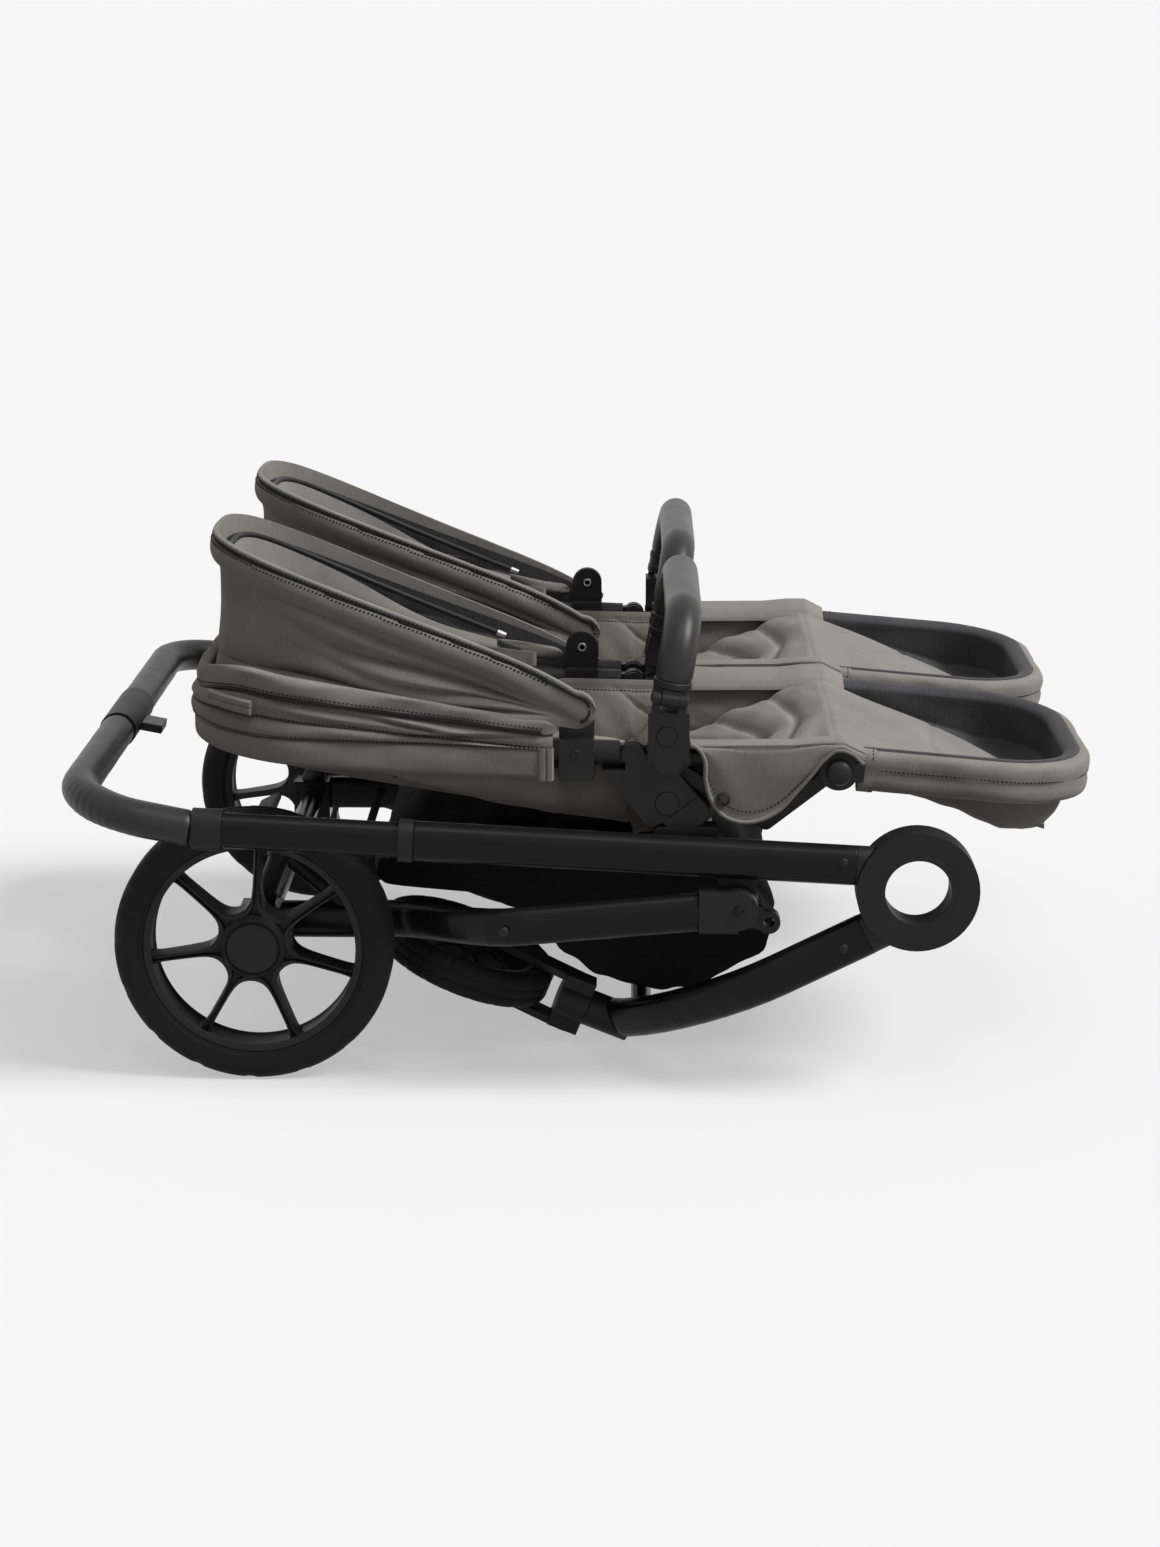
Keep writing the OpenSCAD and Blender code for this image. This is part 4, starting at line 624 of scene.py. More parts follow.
def bucket(front, head, half, corner, count):
    """Outline of a bucket seen from above: straight sides and head, and round corners."""
    turn = np.radians(np.linspace(0, 90, 40))
    sides = np.stack([head + corner - corner * np.sin(turn), corner - half - corner * np.cos(turn)], 1)
    path = np.concatenate([[[front, -half]], sides, sides[::-1] * [1, -1], [[front, half]]])
    return even_steps(path, count)


def around(x, y, normal, out, z):
    """Points pushed out from a plan outline by one distance or an array of them, a row per outline point."""
    plan = np.stack([x, y], 1)[:, None] + normal[:, None] * np.asarray(out)[..., None]
    return np.concatenate([np.broadcast_to(plan, (*z.shape, 2)), z[..., None]], -1)


def between(rows, marks, lines):
    """Heights that pass through each line at its mark, straight between them."""
    z = lines[0] + 0 * rows
    for k in range(len(marks) - 1):
        step = np.clip((rows - marks[k]) / (marks[k + 1] - marks[k]), 0, 1)
        z = z + (lines[k + 1] - lines[k]) * step
    return z


SHELL_FRONT, SHELL_HEAD, SHELL_HALF, SHELL_CORNER, SHELL_REACH = 316, -64, 170, 124, 384
shell_x, shell_y, shell_normal = bucket(SHELL_FRONT, SHELL_HEAD, SHELL_HALF, SHELL_CORNER, 280)
back_by = (SHELL_FRONT - shell_x)[:, None]
rows = np.linspace(0, 1, 76)[None]
marks = (0, 0.16, 0.44, 0.64, 1)
low_line = 338 + 22 * (back_by / SHELL_REACH) ** 1.6
rear_sink = np.clip((16 - shell_x[:, None]) / 78, 0, 1) ** 2
seam_lines = (394 + 0.12 * back_by - 24 * rear_sink, 383 + 0.133 * back_by - 21 * rear_sink,
              368 + 0.108 * back_by - 9 * rear_sink, 371 + 0.03 * back_by, low_line)
shell_z = between(rows, marks, seam_lines)
puff = np.zeros_like(rows)
for low, high, height in zip(marks[1:-1], marks[2:], (4.6, 5.0, 3.6)):
    step = np.clip((rows - low) / (high - low), 0, 1)
    puff = puff + height * np.sqrt(np.clip(4 * step * (1 - step), 0, 1))
far_back = np.clip(back_by / SHELL_REACH, 0, 1)
walk = np.linspace(0, 1050, len(shell_x))[:, None]
shell_out = puff * (0.7 + 0.3 * far_back) - 3 * np.clip((marks[1] - rows) / marks[1], 0, 1)
shell_out = shell_out - 3 * np.clip((rows - 0.95) / 0.05, 0, 1) ** 2
# Each crease: place along the wall in millimetres, share of its height, slant and depth.
SHELL_CREASES = ((900, 0.30, 0.0012, 4.5), (945, 0.37, -0.0016, 4.0), (815, 0.38, 0.0006, 3.2),
                 (150, 0.33, 0.0010, 3.2), (560, 0.36, -0.0006, 2.4))
for at, tall, lean, deep in SHELL_CREASES:
    slant = rows - tall - lean * (walk - at)
    crease = dent(slant, 0.028) * dent(walk - at, 48)
    swell = dent(slant + 0.07, 0.05) * dent(walk - at, 60)
    shell_out = shell_out - deep * crease + 0.6 * deep * swell
shell_sway = ripple((0.9, walk / 37 + 9 * rows), (0.6, walk / 21 - 13 * rows))
shell_out = shell_out + shell_sway * np.sin(np.pi * rows)
shell_out = shell_out - 1.0 * dent(rows - marks[2], 0.012) - 1.2 * dent(rows - marks[3], 0.012)
shell_out = np.where(shell_y[:, None] < 0, np.minimum(shell_out, 4.5), shell_out)
shell_face = around(shell_x, shell_y, shell_normal, shell_out, shell_z)
shell_back = around(shell_x, shell_y, shell_normal, np.minimum(shell_out - 2.2, -1.8), shell_z)


def squared(wave, power):
    """A sine or cosine wave whose size is raised to a power, so that a circle turns into a rounded box."""
    return np.sign(wave) * np.abs(wave) ** power


BELLY_HEAD, BELLY_FRONT, BELLY_POWER = -61, 392, 2 / 4.5
belly_u, belly_v = shares(90, 90)
belly_t = np.radians(90 * belly_v)
belly_x = BELLY_HEAD + (BELLY_FRONT - BELLY_HEAD) * belly_u
belly_edge = 347 + 22 * np.clip((SHELL_FRONT - belly_x) / SHELL_REACH, 0, 1) ** 1.6
belly_deep = np.interp(belly_x, [-46, 40, 95, 150, 257, 340, 392], [357, 349, 344, 330, 299, 278, 266])
belly_half = np.interp(belly_x, [-61, -56, -46, -20, 30, 90, 316, 330, 392],
                       [66, 88, 107, 137, 159, 164, 164, 150, 140])
side_share = squared(np.sin(belly_t), BELLY_POWER)
deep_share = np.abs(np.cos(belly_t)) ** BELLY_POWER
sway = ripple((2.0, 0.035 * belly_x + 3 * belly_t), (1.2, 0.06 * belly_x - 5 * belly_t)) * deep_share
belly_z = belly_edge + (belly_deep - belly_edge) * deep_share + sway
belly_y = belly_half + 1.5 * np.sin(0.05 * belly_x + 6 * deep_share)
belly_face = np.stack([belly_x, belly_y * side_share, belly_z], -1)
belly_back = np.stack([belly_x, (belly_half - CLOTH_THICK) * side_share,
                       belly_z + CLOTH_THICK * deep_share], -1)

REST_HEAD, REST_FRONT, REST_Z, REST_FALL, REST_THICK = -34, 390, 372, 0.165, 20
CHANNEL_FIRST, CHANNEL_STEP = 20, 92
rest_u, rest_v = shares(90, 90)
rest_x = REST_HEAD + (REST_FRONT - REST_HEAD) * rest_u
rest_level = REST_Z - REST_FALL * (rest_x - REST_HEAD)
rest_z = rest_level + 6 * (1 - rest_v ** 2) - 8 * np.abs(rest_v) ** 10
for k in range(4):
    channel = rest_x - CHANNEL_FIRST - CHANNEL_STEP * k - 40 * np.abs(rest_v) ** 1.3
    rest_z = rest_z - 5 * dent(channel, 6) + 2.5 * dent(channel - 42, 22)
rest_half = np.interp(rest_x, [-34, -10, 40, 110, 390], [70, 104, 130, 136, 134])
rest_top = np.stack([rest_x, rest_half * rest_v, rest_z], -1)
rest_low = rest_level - REST_THICK - 3 * (1 - rest_v ** 2)
rest_under = np.stack([rest_x, (rest_half - 2) * rest_v, rest_low], -1)

BRIDGE_REAR, BRIDGE_LONG, BRIDGE_HALF, BRIDGE_Z = 370, 44, 128, 294
span, bridge_v = shares(30, 30)
bridge_z = BRIDGE_Z - 14 * span - 3 * np.sin(np.pi * span)
bridge_top = np.stack([BRIDGE_REAR + BRIDGE_LONG * span, BRIDGE_HALF * bridge_v, bridge_z], -1)

PIVOT_X, PIVOT_Z = 340, 403
STRAP_HALF, STRAP_THICK = 8.0, 2.0
turn = np.linspace(0, 2 * np.pi, 13)
oval = np.hypot(STRAP_HALF * np.sin(turn), STRAP_THICK * np.cos(turn))
corner = (shell_x > -36) & (shell_x < 12) & (shell_y > 0)
loop_line = around(shell_x, shell_y, shell_normal, 6.5, 380 + 0.1 * back_by)[corner, 0]
screw = np.array([[0, -2], [5.2, -2], [5.2, 0.2], [4.6, 0.9], [3.0, 0.9], [2.7, -0.6], [0, -0.6]])
rings = [turned(screw, (PIVOT_X, flip * 149.4, PIVOT_Z), facing(-flip), 32) for flip in (1, -1)]
heads = [turned(screw, (339, flip * 170.2, 364), facing(flip), 32) for flip in (1, -1)]
for label, sign in SIDES:
    body = f"back_{label}"
    shell = seat_piece(f"back_cloth_{label}", two_faced(shell_face, shell_back), sign, taupe)
    under = seat_piece(f"back_belly_{label}", two_faced(belly_face, belly_back), sign, taupe)
    rest = seat_piece(f"back_cushion_{label}", two_faced(rest_top, rest_under), sign, taupe)
    seams = []
    for row in (31, 46):
        seam_line = shell_face[2:-2, row] + np.pad(shell_normal[2:-2] * 0.4, ((0, 0), (0, 1)))
        seams += stitches(on_seat(seam_line, sign))
    sewn = build(f"back_stitch_{label}", seams, thread)
    tabs = []
    for flip in (1, -1):
        strap = np.stack([np.full(9, 309.0), np.full(9, flip * 171.0), np.linspace(337, 371, 9)], 1)
        tabs.append(tube(on_seat(strap, sign), oval, 12, (1, 0, 0)))
    tabs.append(tube(on_seat(loop_line, sign), oval, 12))
    webbing = build(f"back_tab_{label}", tabs, taupe)
    pivot_rings = seat_piece(f"canopy_pivot_rings_{label}", rings, sign, steel, 42)
    screws = seat_piece(f"back_screws_{label}", heads, sign, moulded, 42)
    for piece in (shell, under, rest, sewn, webbing, screws, pivot_rings):
        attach(piece, body)
    bridge_faces = two_faced(bridge_top, bridge_top - [0, 0, 2])
    bridge = seat_piece(f"seat_bridge_{label}", bridge_faces, sign, taupe)
    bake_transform(bridge)
    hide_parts(f"back_shell_{label}")

# Canopies: a padded lower band and, above it, a hood of one cloth from end to end with a bound, rolled rim.
# Zips and stitching run along rim and band; inside hang a lining, a bow and black mesh by the pivots.
# Two gathered webs join shell, band and hood; they are built only as they lie folded, though the real ones
# stretch into one cloth when the bows open.
zip_black = surface("zip_teeth", (0.010, 0.010, 0.010), (0.018, 0.018, 0.018), rough=(0.5, 0.65),
                    patch=4, grain=0.9, depth=0.3, gloss=0.15)

BAND_FRONT, BAND_HEAD, BAND_HALF, BAND_CORNER, BAND_COUNT = 321, -53, 167.5, 118, 240
BAND_POWER = 0.7
band_x, band_y, band_normal = bucket(BAND_FRONT, BAND_HEAD, BAND_HALF, BAND_CORNER, BAND_COUNT)
band_by = (BAND_FRONT - band_x)[:, None]
band_sink = np.clip((16 - band_x[:, None]) / 69, 0, 1) ** 2
band_low = 383 + 0.133 * band_by - 21 * band_sink
band_top = band_low + 15 + 0.034 * band_by - 4 * band_sink
station = np.arange(BAND_COUNT)
end_taper = np.sqrt(np.clip((np.minimum(station, BAND_COUNT - 1 - station) + 0.2) / 3, 0, 1))[:, None]
ring = np.linspace(0, 2 * np.pi, 41)[None]
band_walk = np.linspace(0, 1040, BAND_COUNT)[:, None]
thick = 4.5 + 2.5 * np.clip(band_by / 300, 0, 1)
band_ripple = ripple((0.7, band_walk / 29 + 2 * ring), (0.5, band_walk / 13 - 3 * ring))
band_out = (thick * squared(np.cos(ring), BAND_POWER) + band_ripple) * end_taper + 1.5
band_out = np.where(band_y[:, None] < 0, np.minimum(band_out, 5), band_out)
band_tall = (band_top - band_low) / 2 * squared(np.sin(ring), BAND_POWER) * end_taper
band_skin = around(band_x, band_y, band_normal, band_out, (band_top + band_low) / 2 + band_tall)
band_skin = closed(band_skin, band_skin[0].mean(0), band_skin[-1].mean(0))

HOOD_LEN, HOOD_HALF, TONGUE, HOOD_POWER = 381, 170.6, 20, 2 / 3.2
t = np.linspace(-np.pi / 2, np.pi / 2, 1201)
hood_plan = np.stack([PIVOT_X - HOOD_LEN * np.abs(np.cos(t)) ** HOOD_POWER,
                      HOOD_HALF * squared(np.sin(t), HOOD_POWER)], 1)
tongues = np.array([[PIVOT_X + TONGUE - 0.3, -HOOD_HALF], [PIVOT_X + TONGUE - 0.3, HOOD_HALF]])
hood_x, hood_y, hood_normal = even_steps(np.concatenate([tongues[:1], hood_plan, tongues[1:]]), 320)
reach = (PIVOT_X - hood_x)[:, None]
ahead = np.clip(reach, 0, None)
even = np.linspace(0, 1, 76)[None]
share = 0.25 * (1 - np.cos(np.pi * even)) + 0.5 * even
hood_walk = np.linspace(0, 1080, len(hood_x))[:, None]
HOOD_SLACK = 19
# Each fold: angle at the pivot and half width in degrees, height and reach in millimetres.
HOOD_FOLDS = ((6.8, 1.9, 5.5, 300), (12.2, 1.5, 4.0, 210), (17.2, 2.2, 6.0, 250), (23.5, 2.0, 4.5, 180))


def rim_and_hem(sign):
    """Heights of a hood's rim and lower hem; both hoods hang slack towards +Y, as the photo shows them."""
    slack = HOOD_SLACK * (1 + sign * hood_y[:, None] / HOOD_HALF) * (1 - (ahead / 420) ** 3)
    rim = PIVOT_Z + 28 + 0.37 * ahead + 12 * (1 - np.exp(-ahead / 40)) - 6 * (ahead / HOOD_LEN) ** 6 - slack
    hem = PIVOT_Z - 12 + 0.165 * ahead - 0.5 * slack
    return rim, np.minimum(hem, rim - 18)


def hood_faces(sign):
    """Outer face and lining of one hood, and each point's depth below the rim: a bound edge, a rolled rim,
    then folds that fan out from the pivot, each a steep tuck that fades with its distance from it."""
    rim, hem = rim_and_hem(sign)
    tip = np.sqrt(np.clip(1 - (np.clip(-reach, 0, TONGUE) / TONGUE) ** 2, 0, 1))
    centre, half = (rim + hem) / 2, (rim - hem) / 2 * tip
    z = centre + half * (2 * share - 1)
    depth = (1 - share) * 2 * half
    wide = np.clip(ahead / 70, 0.3, 1)
    bound = 3.0 * np.sqrt(np.clip(1 - ((depth - 2.5) / 3.6) ** 2, 0, 1))
    roll = 6.6 * np.sqrt(np.clip(1 - ((depth - 18.5) / 12.5) ** 2, 0, 1)) * wide
    fan = np.degrees(np.arctan2(z - PIVOT_Z + 4, ahead + 12))
    away = np.hypot(z - PIVOT_Z, reach)
    gather = np.clip((away - 26) / 50, 0, 1)
    folds = 1.2 * np.sin(np.radians(fan * 31 + 10)) * np.exp(-np.clip(away - 140, 0, None) / 80)
    for angle, narrow, deep, length in HOOD_FOLDS:
        bent = fan - angle - 1.4 * np.sin(away / 37 + angle)
        above = np.clip(bent, 0, None) / narrow
        tuck = above * np.exp(1 - above) - 0.6 * np.exp(-np.abs(bent) / (1.6 * narrow))
        folds = folds + deep * tuck * np.exp(-np.clip(away - length, 0, None) / 45)
    folds = folds * gather
    soft = ripple((1.2, hood_walk / 47 + 6 * share), (0.8, hood_walk / 31 - 9 * share + 1))
    hollow = -12 * np.sin(np.pi * share) * np.clip(ahead / HOOD_LEN - 0.7, 0, 1)
    sag = -3.6 * dent(share - 0.28 - 0.25 * ahead / HOOD_LEN, 0.08) * np.clip(ahead / 120, 0, 1)
    below = np.clip((depth - 28) / 12, 0, 1)
    out = bound + roll + below * (folds + soft + hollow + sag * np.clip(3 - ahead / 120, 0, 1))
    out = np.where(hood_y[:, None] < 0, np.minimum(out, 7), out)
    pleats = ripple((1.1, hood_walk / 11 + 2 * share), (0.8, hood_walk / 6.1 + 1))
    pleats = pleats * np.clip(ahead / 90 - 1.6, 0, 1) * below
    inner = np.where(ahead < 50, -CLOTH_THICK, np.minimum(out, 0) - 2.6 + pleats)
    return around(hood_x, hood_y, hood_normal, out, z), around(hood_x, hood_y, hood_normal, inner, z), depth


def even_line(line, count):
    """The points of a line, resampled in even steps of its plan length."""
    far = lengths(line[:, :2])
    walk = np.linspace(0, far[-1], count)
    return np.stack([np.interp(walk, far, line[:, k]) for k in range(3)], 1)


def gusset(low, high, rows):
    """Both faces of a strip of cloth from one edge line to another, stepped evenly along both."""
    lines = [even_line(edge, 200)[:, None] for edge in (low, high)]
    part = np.linspace(0, 1, rows)[None, :, None]
    strip = lines[0] * (1 - part) + lines[1] * part
    outward = np.pad(strip[:, :1, :2] - [150, 0], ((0, 0), (0, 0), (0, 1)))
    outward = outward / np.linalg.norm(outward, axis=2, keepdims=True)
    return two_faced(strip, strip - 1.2 * outward)


def at_depth(face, depth, wanted, out, skip):
    """A line along the hood's face at a depth in millimetres below the rim, pushed out a little."""
    column = np.abs(depth - wanted).argmin(1)
    line = face[np.arange(len(hood_x)), column] + np.pad(hood_normal * out, ((0, 0), (0, 1)))
    return line[skip:-skip]


WEB_FRONT = 290
for label, sign in SIDES:
    band_body, hood_body = f"canopy_mid_{label}", f"canopy_front_{label}"
    band = seat_piece(f"canopy_roll_{label}", [band_skin], sign, taupe)
    zip_row = on_seat(around(band_x, band_y, band_normal, 0.75 * thick + 2.4, band_low + 2.2)[4:-4, 0], sign)
    band_zip = build(f"canopy_roll_zip_{label}", [tube(zip_row, 1.7, 8)], zip_black)
    sewn_row = on_seat(around(band_x, band_y, band_normal, thick + 1.9, band_low + 6.5)[4:-4, 0], sign)
    band_stitch = build(f"canopy_roll_stitch_{label}", stitches(sewn_row, thick=0.7), thread)
    for piece in (band, band_zip, band_stitch):
        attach(piece, band_body)
    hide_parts(f"canopy_band_{label}")

    face, inner, depth = hood_faces(sign)
    rim, hem = rim_and_hem(sign)
    hood = seat_piece(f"canopy_cloth_{label}", two_faced(face, inner), sign, taupe)
    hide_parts(f"canopy_hood_{label}")
    round_tip = []
    for flip in (-1, 1):
        tip_at = (PIVOT_X, flip * (HOOD_HALF + 1.4), PIVOT_Z + 8 - HOOD_SLACK * (1 + sign * flip))
        round_tip.append(arc(tip_at, (1, 0, 0), (0, 0, 1), 13.4, 80, -70, 24))
    rim_line = np.concatenate([round_tip[0][::-1], at_depth(face, depth, 6.4, 0.4, 18), round_tip[1]])
    rim_zip = build(f"canopy_rim_zip_{label}", [tube(spaced(on_seat(rim_line, sign), 4), 1.5, 8)], zip_black)
    under_row, over_row = [on_seat(at_depth(face, depth, wanted, 0.5, 16), sign) for wanted in (9.6, 3.4)]
    rim_rows = stitches(under_row, thick=0.7) + stitches(over_row)
    rim_stitch = build(f"canopy_rim_stitch_{label}", rim_rows, thread)

    inside = ahead[:, 0] > 96
    fall = np.linspace(0, 1, 30)[None]
    free = np.sin(np.pi * fall)
    slip = 13 * dent(ahead - 170, 75)
    panel_z = (rim - 25 - slip) * (1 - fall) + (hem + 5) * fall
    drift = ripple((2.0, hood_walk / 53 + 2 * fall), (1.2, hood_walk / 23 - 3 * fall)) * free
    panel_out = -14 - 4 * free + 0.6 * drift
    panel = [around(hood_x, hood_y, hood_normal, panel_out - gap, panel_z)[inside] for gap in (1.8, 0)]
    hung = seat_piece(f"canopy_lining_{label}", two_faced(*panel), sign, taupe)
    behind = np.pad(hood_normal[:, None], ((0, 0), (0, 0), (0, 1)))
    seen_from = np.abs(depth - 20).argmin(1)[len(hood_x) // 2]
    covered = ahead[:, 0] > 14
    mesh_face = (inner - behind)[covered][:, 3:seen_from]
    screen_faces = two_faced(mesh_face - behind[covered], mesh_face)
    screen = seat_piece(f"canopy_mesh_{label}", screen_faces, sign, lining)
    bow_at = ahead[:, 0] > 84
    bow_line = on_seat(around(hood_x, hood_y, hood_normal, -12.0, rim - 22)[bow_at, 0], sign)
    bow = build(f"canopy_bow_{label}", [tube(bow_line, 3.2, 12)], moulded)
    bow_ends = [tube(end, 3.9, 14) for end in (bow_line[:4], bow_line[-4:])]
    tips = build(f"canopy_bow_tips_{label}", bow_ends, steel)
    for piece in (hood, rim_zip, rim_stitch, hung, screen, bow, tips):
        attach(piece, hood_body)

    webbed = band_x < WEB_FRONT
    shell_edge = around(band_x, band_y, band_normal, -4.0, 396 - 0.133 * band_x[:, None])[webbed, 0]
    band_edge = around(band_x, band_y, band_normal, -4.0, band_low + 6)[webbed, 0]
    low_web = seat_piece(f"canopy_web_low_{label}", gusset(shell_edge, band_edge, 40), sign, taupe)
    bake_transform(low_web)
    band_edge = around(band_x, band_y, band_normal, -2.0, band_low - 12)[webbed, 0]
    hood_edge = around(hood_x, hood_y, hood_normal, -1.3, hem + 4)[hood_x < WEB_FRONT, 0]
    high_web = seat_piece(f"canopy_web_high_{label}", gusset(band_edge, hood_edge, 60), sign, taupe)
    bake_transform(high_web)

# Bumper bars: leather-look padding over a bent tube, with its seam on the inside of the arch.
# Moulded ferrules close its ends; one carries the hinge barrel and the other the latch block.
BAR_FOOT = np.array([434.0, 0.0, 414.4])
BAR_LEAN = math.radians(10)
BAR_R, BAR_H, BAR_BEND, RAIL_Y = 19.2, 86, 60, 156
bar_up = np.array([math.sin(BAR_LEAN), 0, math.cos(BAR_LEAN)])
bar_ahead = np.array([math.cos(BAR_LEAN), 0, -math.sin(BAR_LEAN)])


def block(low, high, centre, axes, ease=3.0):
    """A box between two corners in the given axes, with eased upright edges and drawn-in ends."""
    edges = rounded([[low[0], low[1]], [high[0], low[1]], [high[0], high[1]], [low[0], high[1]]], ease)
    middle = edges.mean(0)
    drawn = 1 - ease / 20
    levels = ((low[2], 0), (low[2], drawn), (low[2] + ease / 2, 1), (high[2] - ease / 2, 1),
              (high[2], drawn), (high[2], 0))
    rings = [np.insert(middle + (edges - middle) * share, 2, height, 1) for height, share in levels]
    return centre + np.stack(rings) @ axes


bar_axes = np.array([bar_ahead, across_y, bar_up])
half_line = np.concatenate([
    np.linspace(26, BAR_H - BAR_BEND, 4)[:, None] * bar_up + RAIL_Y * across_y,
    arc((BAR_H - BAR_BEND) * bar_up + (RAIL_Y - BAR_BEND) * across_y, across_y, bar_up, BAR_BEND, 4, 90, 40),
    BAR_H * bar_up + np.linspace(RAIL_Y - BAR_BEND - 5, 0, 24)[:, None] * across_y])
bar_line = spaced(np.concatenate([half_line, half_line[-2::-1] * [1, -1, 1]]) + BAR_FOOT, 3)
t = np.linspace(0, 1, len(bar_line))[:, None]
girth = BAR_R - 1.6 * dent(np.minimum(t, 1 - t), 0.008) + 0.05 * np.sin(23 * t)
seam_line = bar_line[4:-4] + (BAR_R + 0.1) * frames_along(bar_line, bar_ahead)[1][4:-4]
collar = np.array([[0, 0.4], [18.6, 0.4], [19.6, 2], [19.6, 9], [18.9, 9.6], [18.9, 18.5], [19.8, 19.2],
                   [19.8, 25], [18.8, 26.2], [0, 26.2]])
barrel = np.array([[0, -9], [7, -9], [7, 9], [0, 9]])
barrel_axes = np.array([across_y, bar_up, bar_ahead])
rail_out = BAR_FOOT + np.array([[RAIL_Y], [-RAIL_Y]]) * across_y
plate_out = BAR_FOOT + np.array([[RAIL_Y + 19], [-RAIL_Y - 19]]) * across_y
foot_parts = [turned(collar, at, bar_axes, 72) for at in rail_out]
foot_parts += [block((-9, -1.5, 9.5), (9, 1.5, 17), at, bar_axes, 1.2) for at in plate_out]
foot_parts += [turned(barrel, BAR_FOOT + 173 * across_y + 8 * bar_up, barrel_axes, 32),
               block((-18, -171, -35), (18, -141, 1), BAR_FOOT, bar_axes)]
bar_skin = tube(bar_line, girth, 28, bar_ahead)

for label, sign in SIDES:
    bar = build(f"bumper_skin_{label}", [on_seat(bar_skin, sign)], leather)
    seam = build(f"bumper_seam_{label}", stitches(on_seat(seam_line, sign), **SEAM_STITCH), thread)
    ferrules = seat_piece(f"bumper_ferrules_{label}", foot_parts, sign, moulded, 35)
    for piece in (bar, seam, ferrules):
        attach(piece, f"bumper_{label}")
    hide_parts(f"bumper_bar_{label}")

# Legrests: a padded band sewn round the loop, and a calf pad that slopes into a black-lined foot pocket.
# A pouch hangs under the pocket, and stitched cuffs close the band at the domed knee knuckles.
KNEE = np.array([608.0, 0.0, 347.0])
TILT = math.radians(5)
LEG_LEN, LEG_HALF, LEG_BEND, CALF_FALL = 259, 150, 92, 86
leg_ahead = np.array([math.cos(TILT), 0, -math.sin(TILT)])
leg_up = np.array([math.sin(TILT), 0, math.cos(TILT)])
for label, sign in SIDES:
    wear(moulded, "plastic_black", f"legrest_frame_{label}")


def leg_loop(start, step):
    """Points round the legrest loop from one knee to the other, with outward and upward directions."""
    straight = LEG_LEN - LEG_BEND
    bend = np.radians(np.linspace(3, 90, 40))
    half = np.concatenate([
        np.stack([np.linspace(start, straight, 40), np.full(40, LEG_HALF)], 1),
        np.stack([straight + LEG_BEND * np.sin(bend), LEG_HALF - LEG_BEND + LEG_BEND * np.cos(bend)], 1),
        np.stack([np.full(24, LEG_LEN), np.linspace(LEG_HALF - LEG_BEND - 3, 0, 24)], 1)])
    flat = spaced(np.pad(np.concatenate([half, half[-2::-1] * [1, -1]]), ((0, 0), (0, 1))), step)
    path = KNEE + flat[:, :1] * leg_ahead + flat[:, 1:2] * across_y
    _, side, above = frames_along(path, leg_up)
    return path, side * np.sign(side[0, 1]), above


BAND_WIDE, BAND_TALL = 13, 21.5
band_path, outwards, upwards = leg_loop(21, 3.2)
turn = np.linspace(0, 2 * np.pi, 45)[None]
t = np.linspace(0, 1, len(band_path))[:, None]
ends = np.sqrt(np.clip(np.minimum(t, 1 - t) / 0.008 + 0.35, 0, 1))
sew = dent(np.mod(turn + np.pi, 2 * np.pi) - np.pi, 0.08)
band_side = BAND_WIDE * squared(np.cos(turn), 0.66) * (1 + 0.06 * np.sin(2 * turn) ** 2) - 1.6 * sew
band_rise = BAND_TALL * squared(np.sin(turn), 0.62)
wrinkle = ripple((0.45, 43 * t + 2 * turn), (0.3, 87 * t - 3 * turn)) * np.sign(np.cos(turn))
leg_band = (band_path[:, None] + ((band_side + wrinkle) * ends)[..., None] * outwards[:, None]
            + (band_rise * ends)[..., None] * upwards[:, None])
leg_band = closed(leg_band, band_path[0], band_path[-1])

CALF_LONG, CALF_RUN, CALF_SEAM = 222, 206, 716
calf_u, calf_v = shares(80, 84)
calf_x = RIDGE_X + CALF_LONG * calf_u
calf_z = RIDGE_Z - CALF_FALL * (calf_u * CALF_LONG / CALF_RUN) ** 1.05
calf_z = calf_z + 6 * (1 - calf_v ** 2) * np.sin(np.pi * np.clip(calf_u * 1.1, 0, 1))
calf_z = calf_z - 6 * np.abs(calf_v) ** 10 - 2.5 * dent(calf_x - RIDGE_X, 3)
calf_z = calf_z - 2.6 * dent(calf_x - CALF_SEAM - 18 * np.abs(calf_v), 4) * (1 - calf_v ** 6)
calf_z = calf_z + ripple((0.7, 11 * calf_u + 5 * calf_v))
calf_half = np.interp(calf_x, [606, 630, 650, 770, 828], [146, 138, 134, 133, 112])
calf_top = np.stack([calf_x, calf_half * calf_v, calf_z], -1)
calf_low = calf_z - 5 - 13 * (1 - calf_u) - 2 * (1 - calf_v ** 2)
calf_under = np.stack([calf_x, (calf_half - 2) * calf_v, calf_low], -1)

LINER_IN, LINER_OVER, LINER_THICK, POCKET_FLOOR = 15.6, 8.2, 1.2, 281
liner_path, liner_out, _ = leg_loop(4, 5)
liner_fall = np.linspace(0, 1, 30)[None]
over = np.radians(np.linspace(96, 0, 8))[None]
calf_share = np.clip((liner_path[:, :1] - RIDGE_X) / CALF_RUN, 0, 1)
floor_at = np.maximum(RIDGE_Z - 18 - CALF_FALL * calf_share ** 1.05, POCKET_FLOOR)
liner_top = liner_path[:, 2:] + np.interp(liner_path[:, :1], [612, 634], [12, 15])
sway = np.sin(np.arange(len(liner_path))[:, None] / 5 + 4 * liner_fall)
inward = LINER_IN + 0.9 * sway * np.sin(np.pi * liner_fall) + 320 * np.clip(liner_fall - 0.64, 0, 1) ** 1.5
inward = np.concatenate([LINER_IN * np.cos(over) + 0 * liner_top, inward], 1)
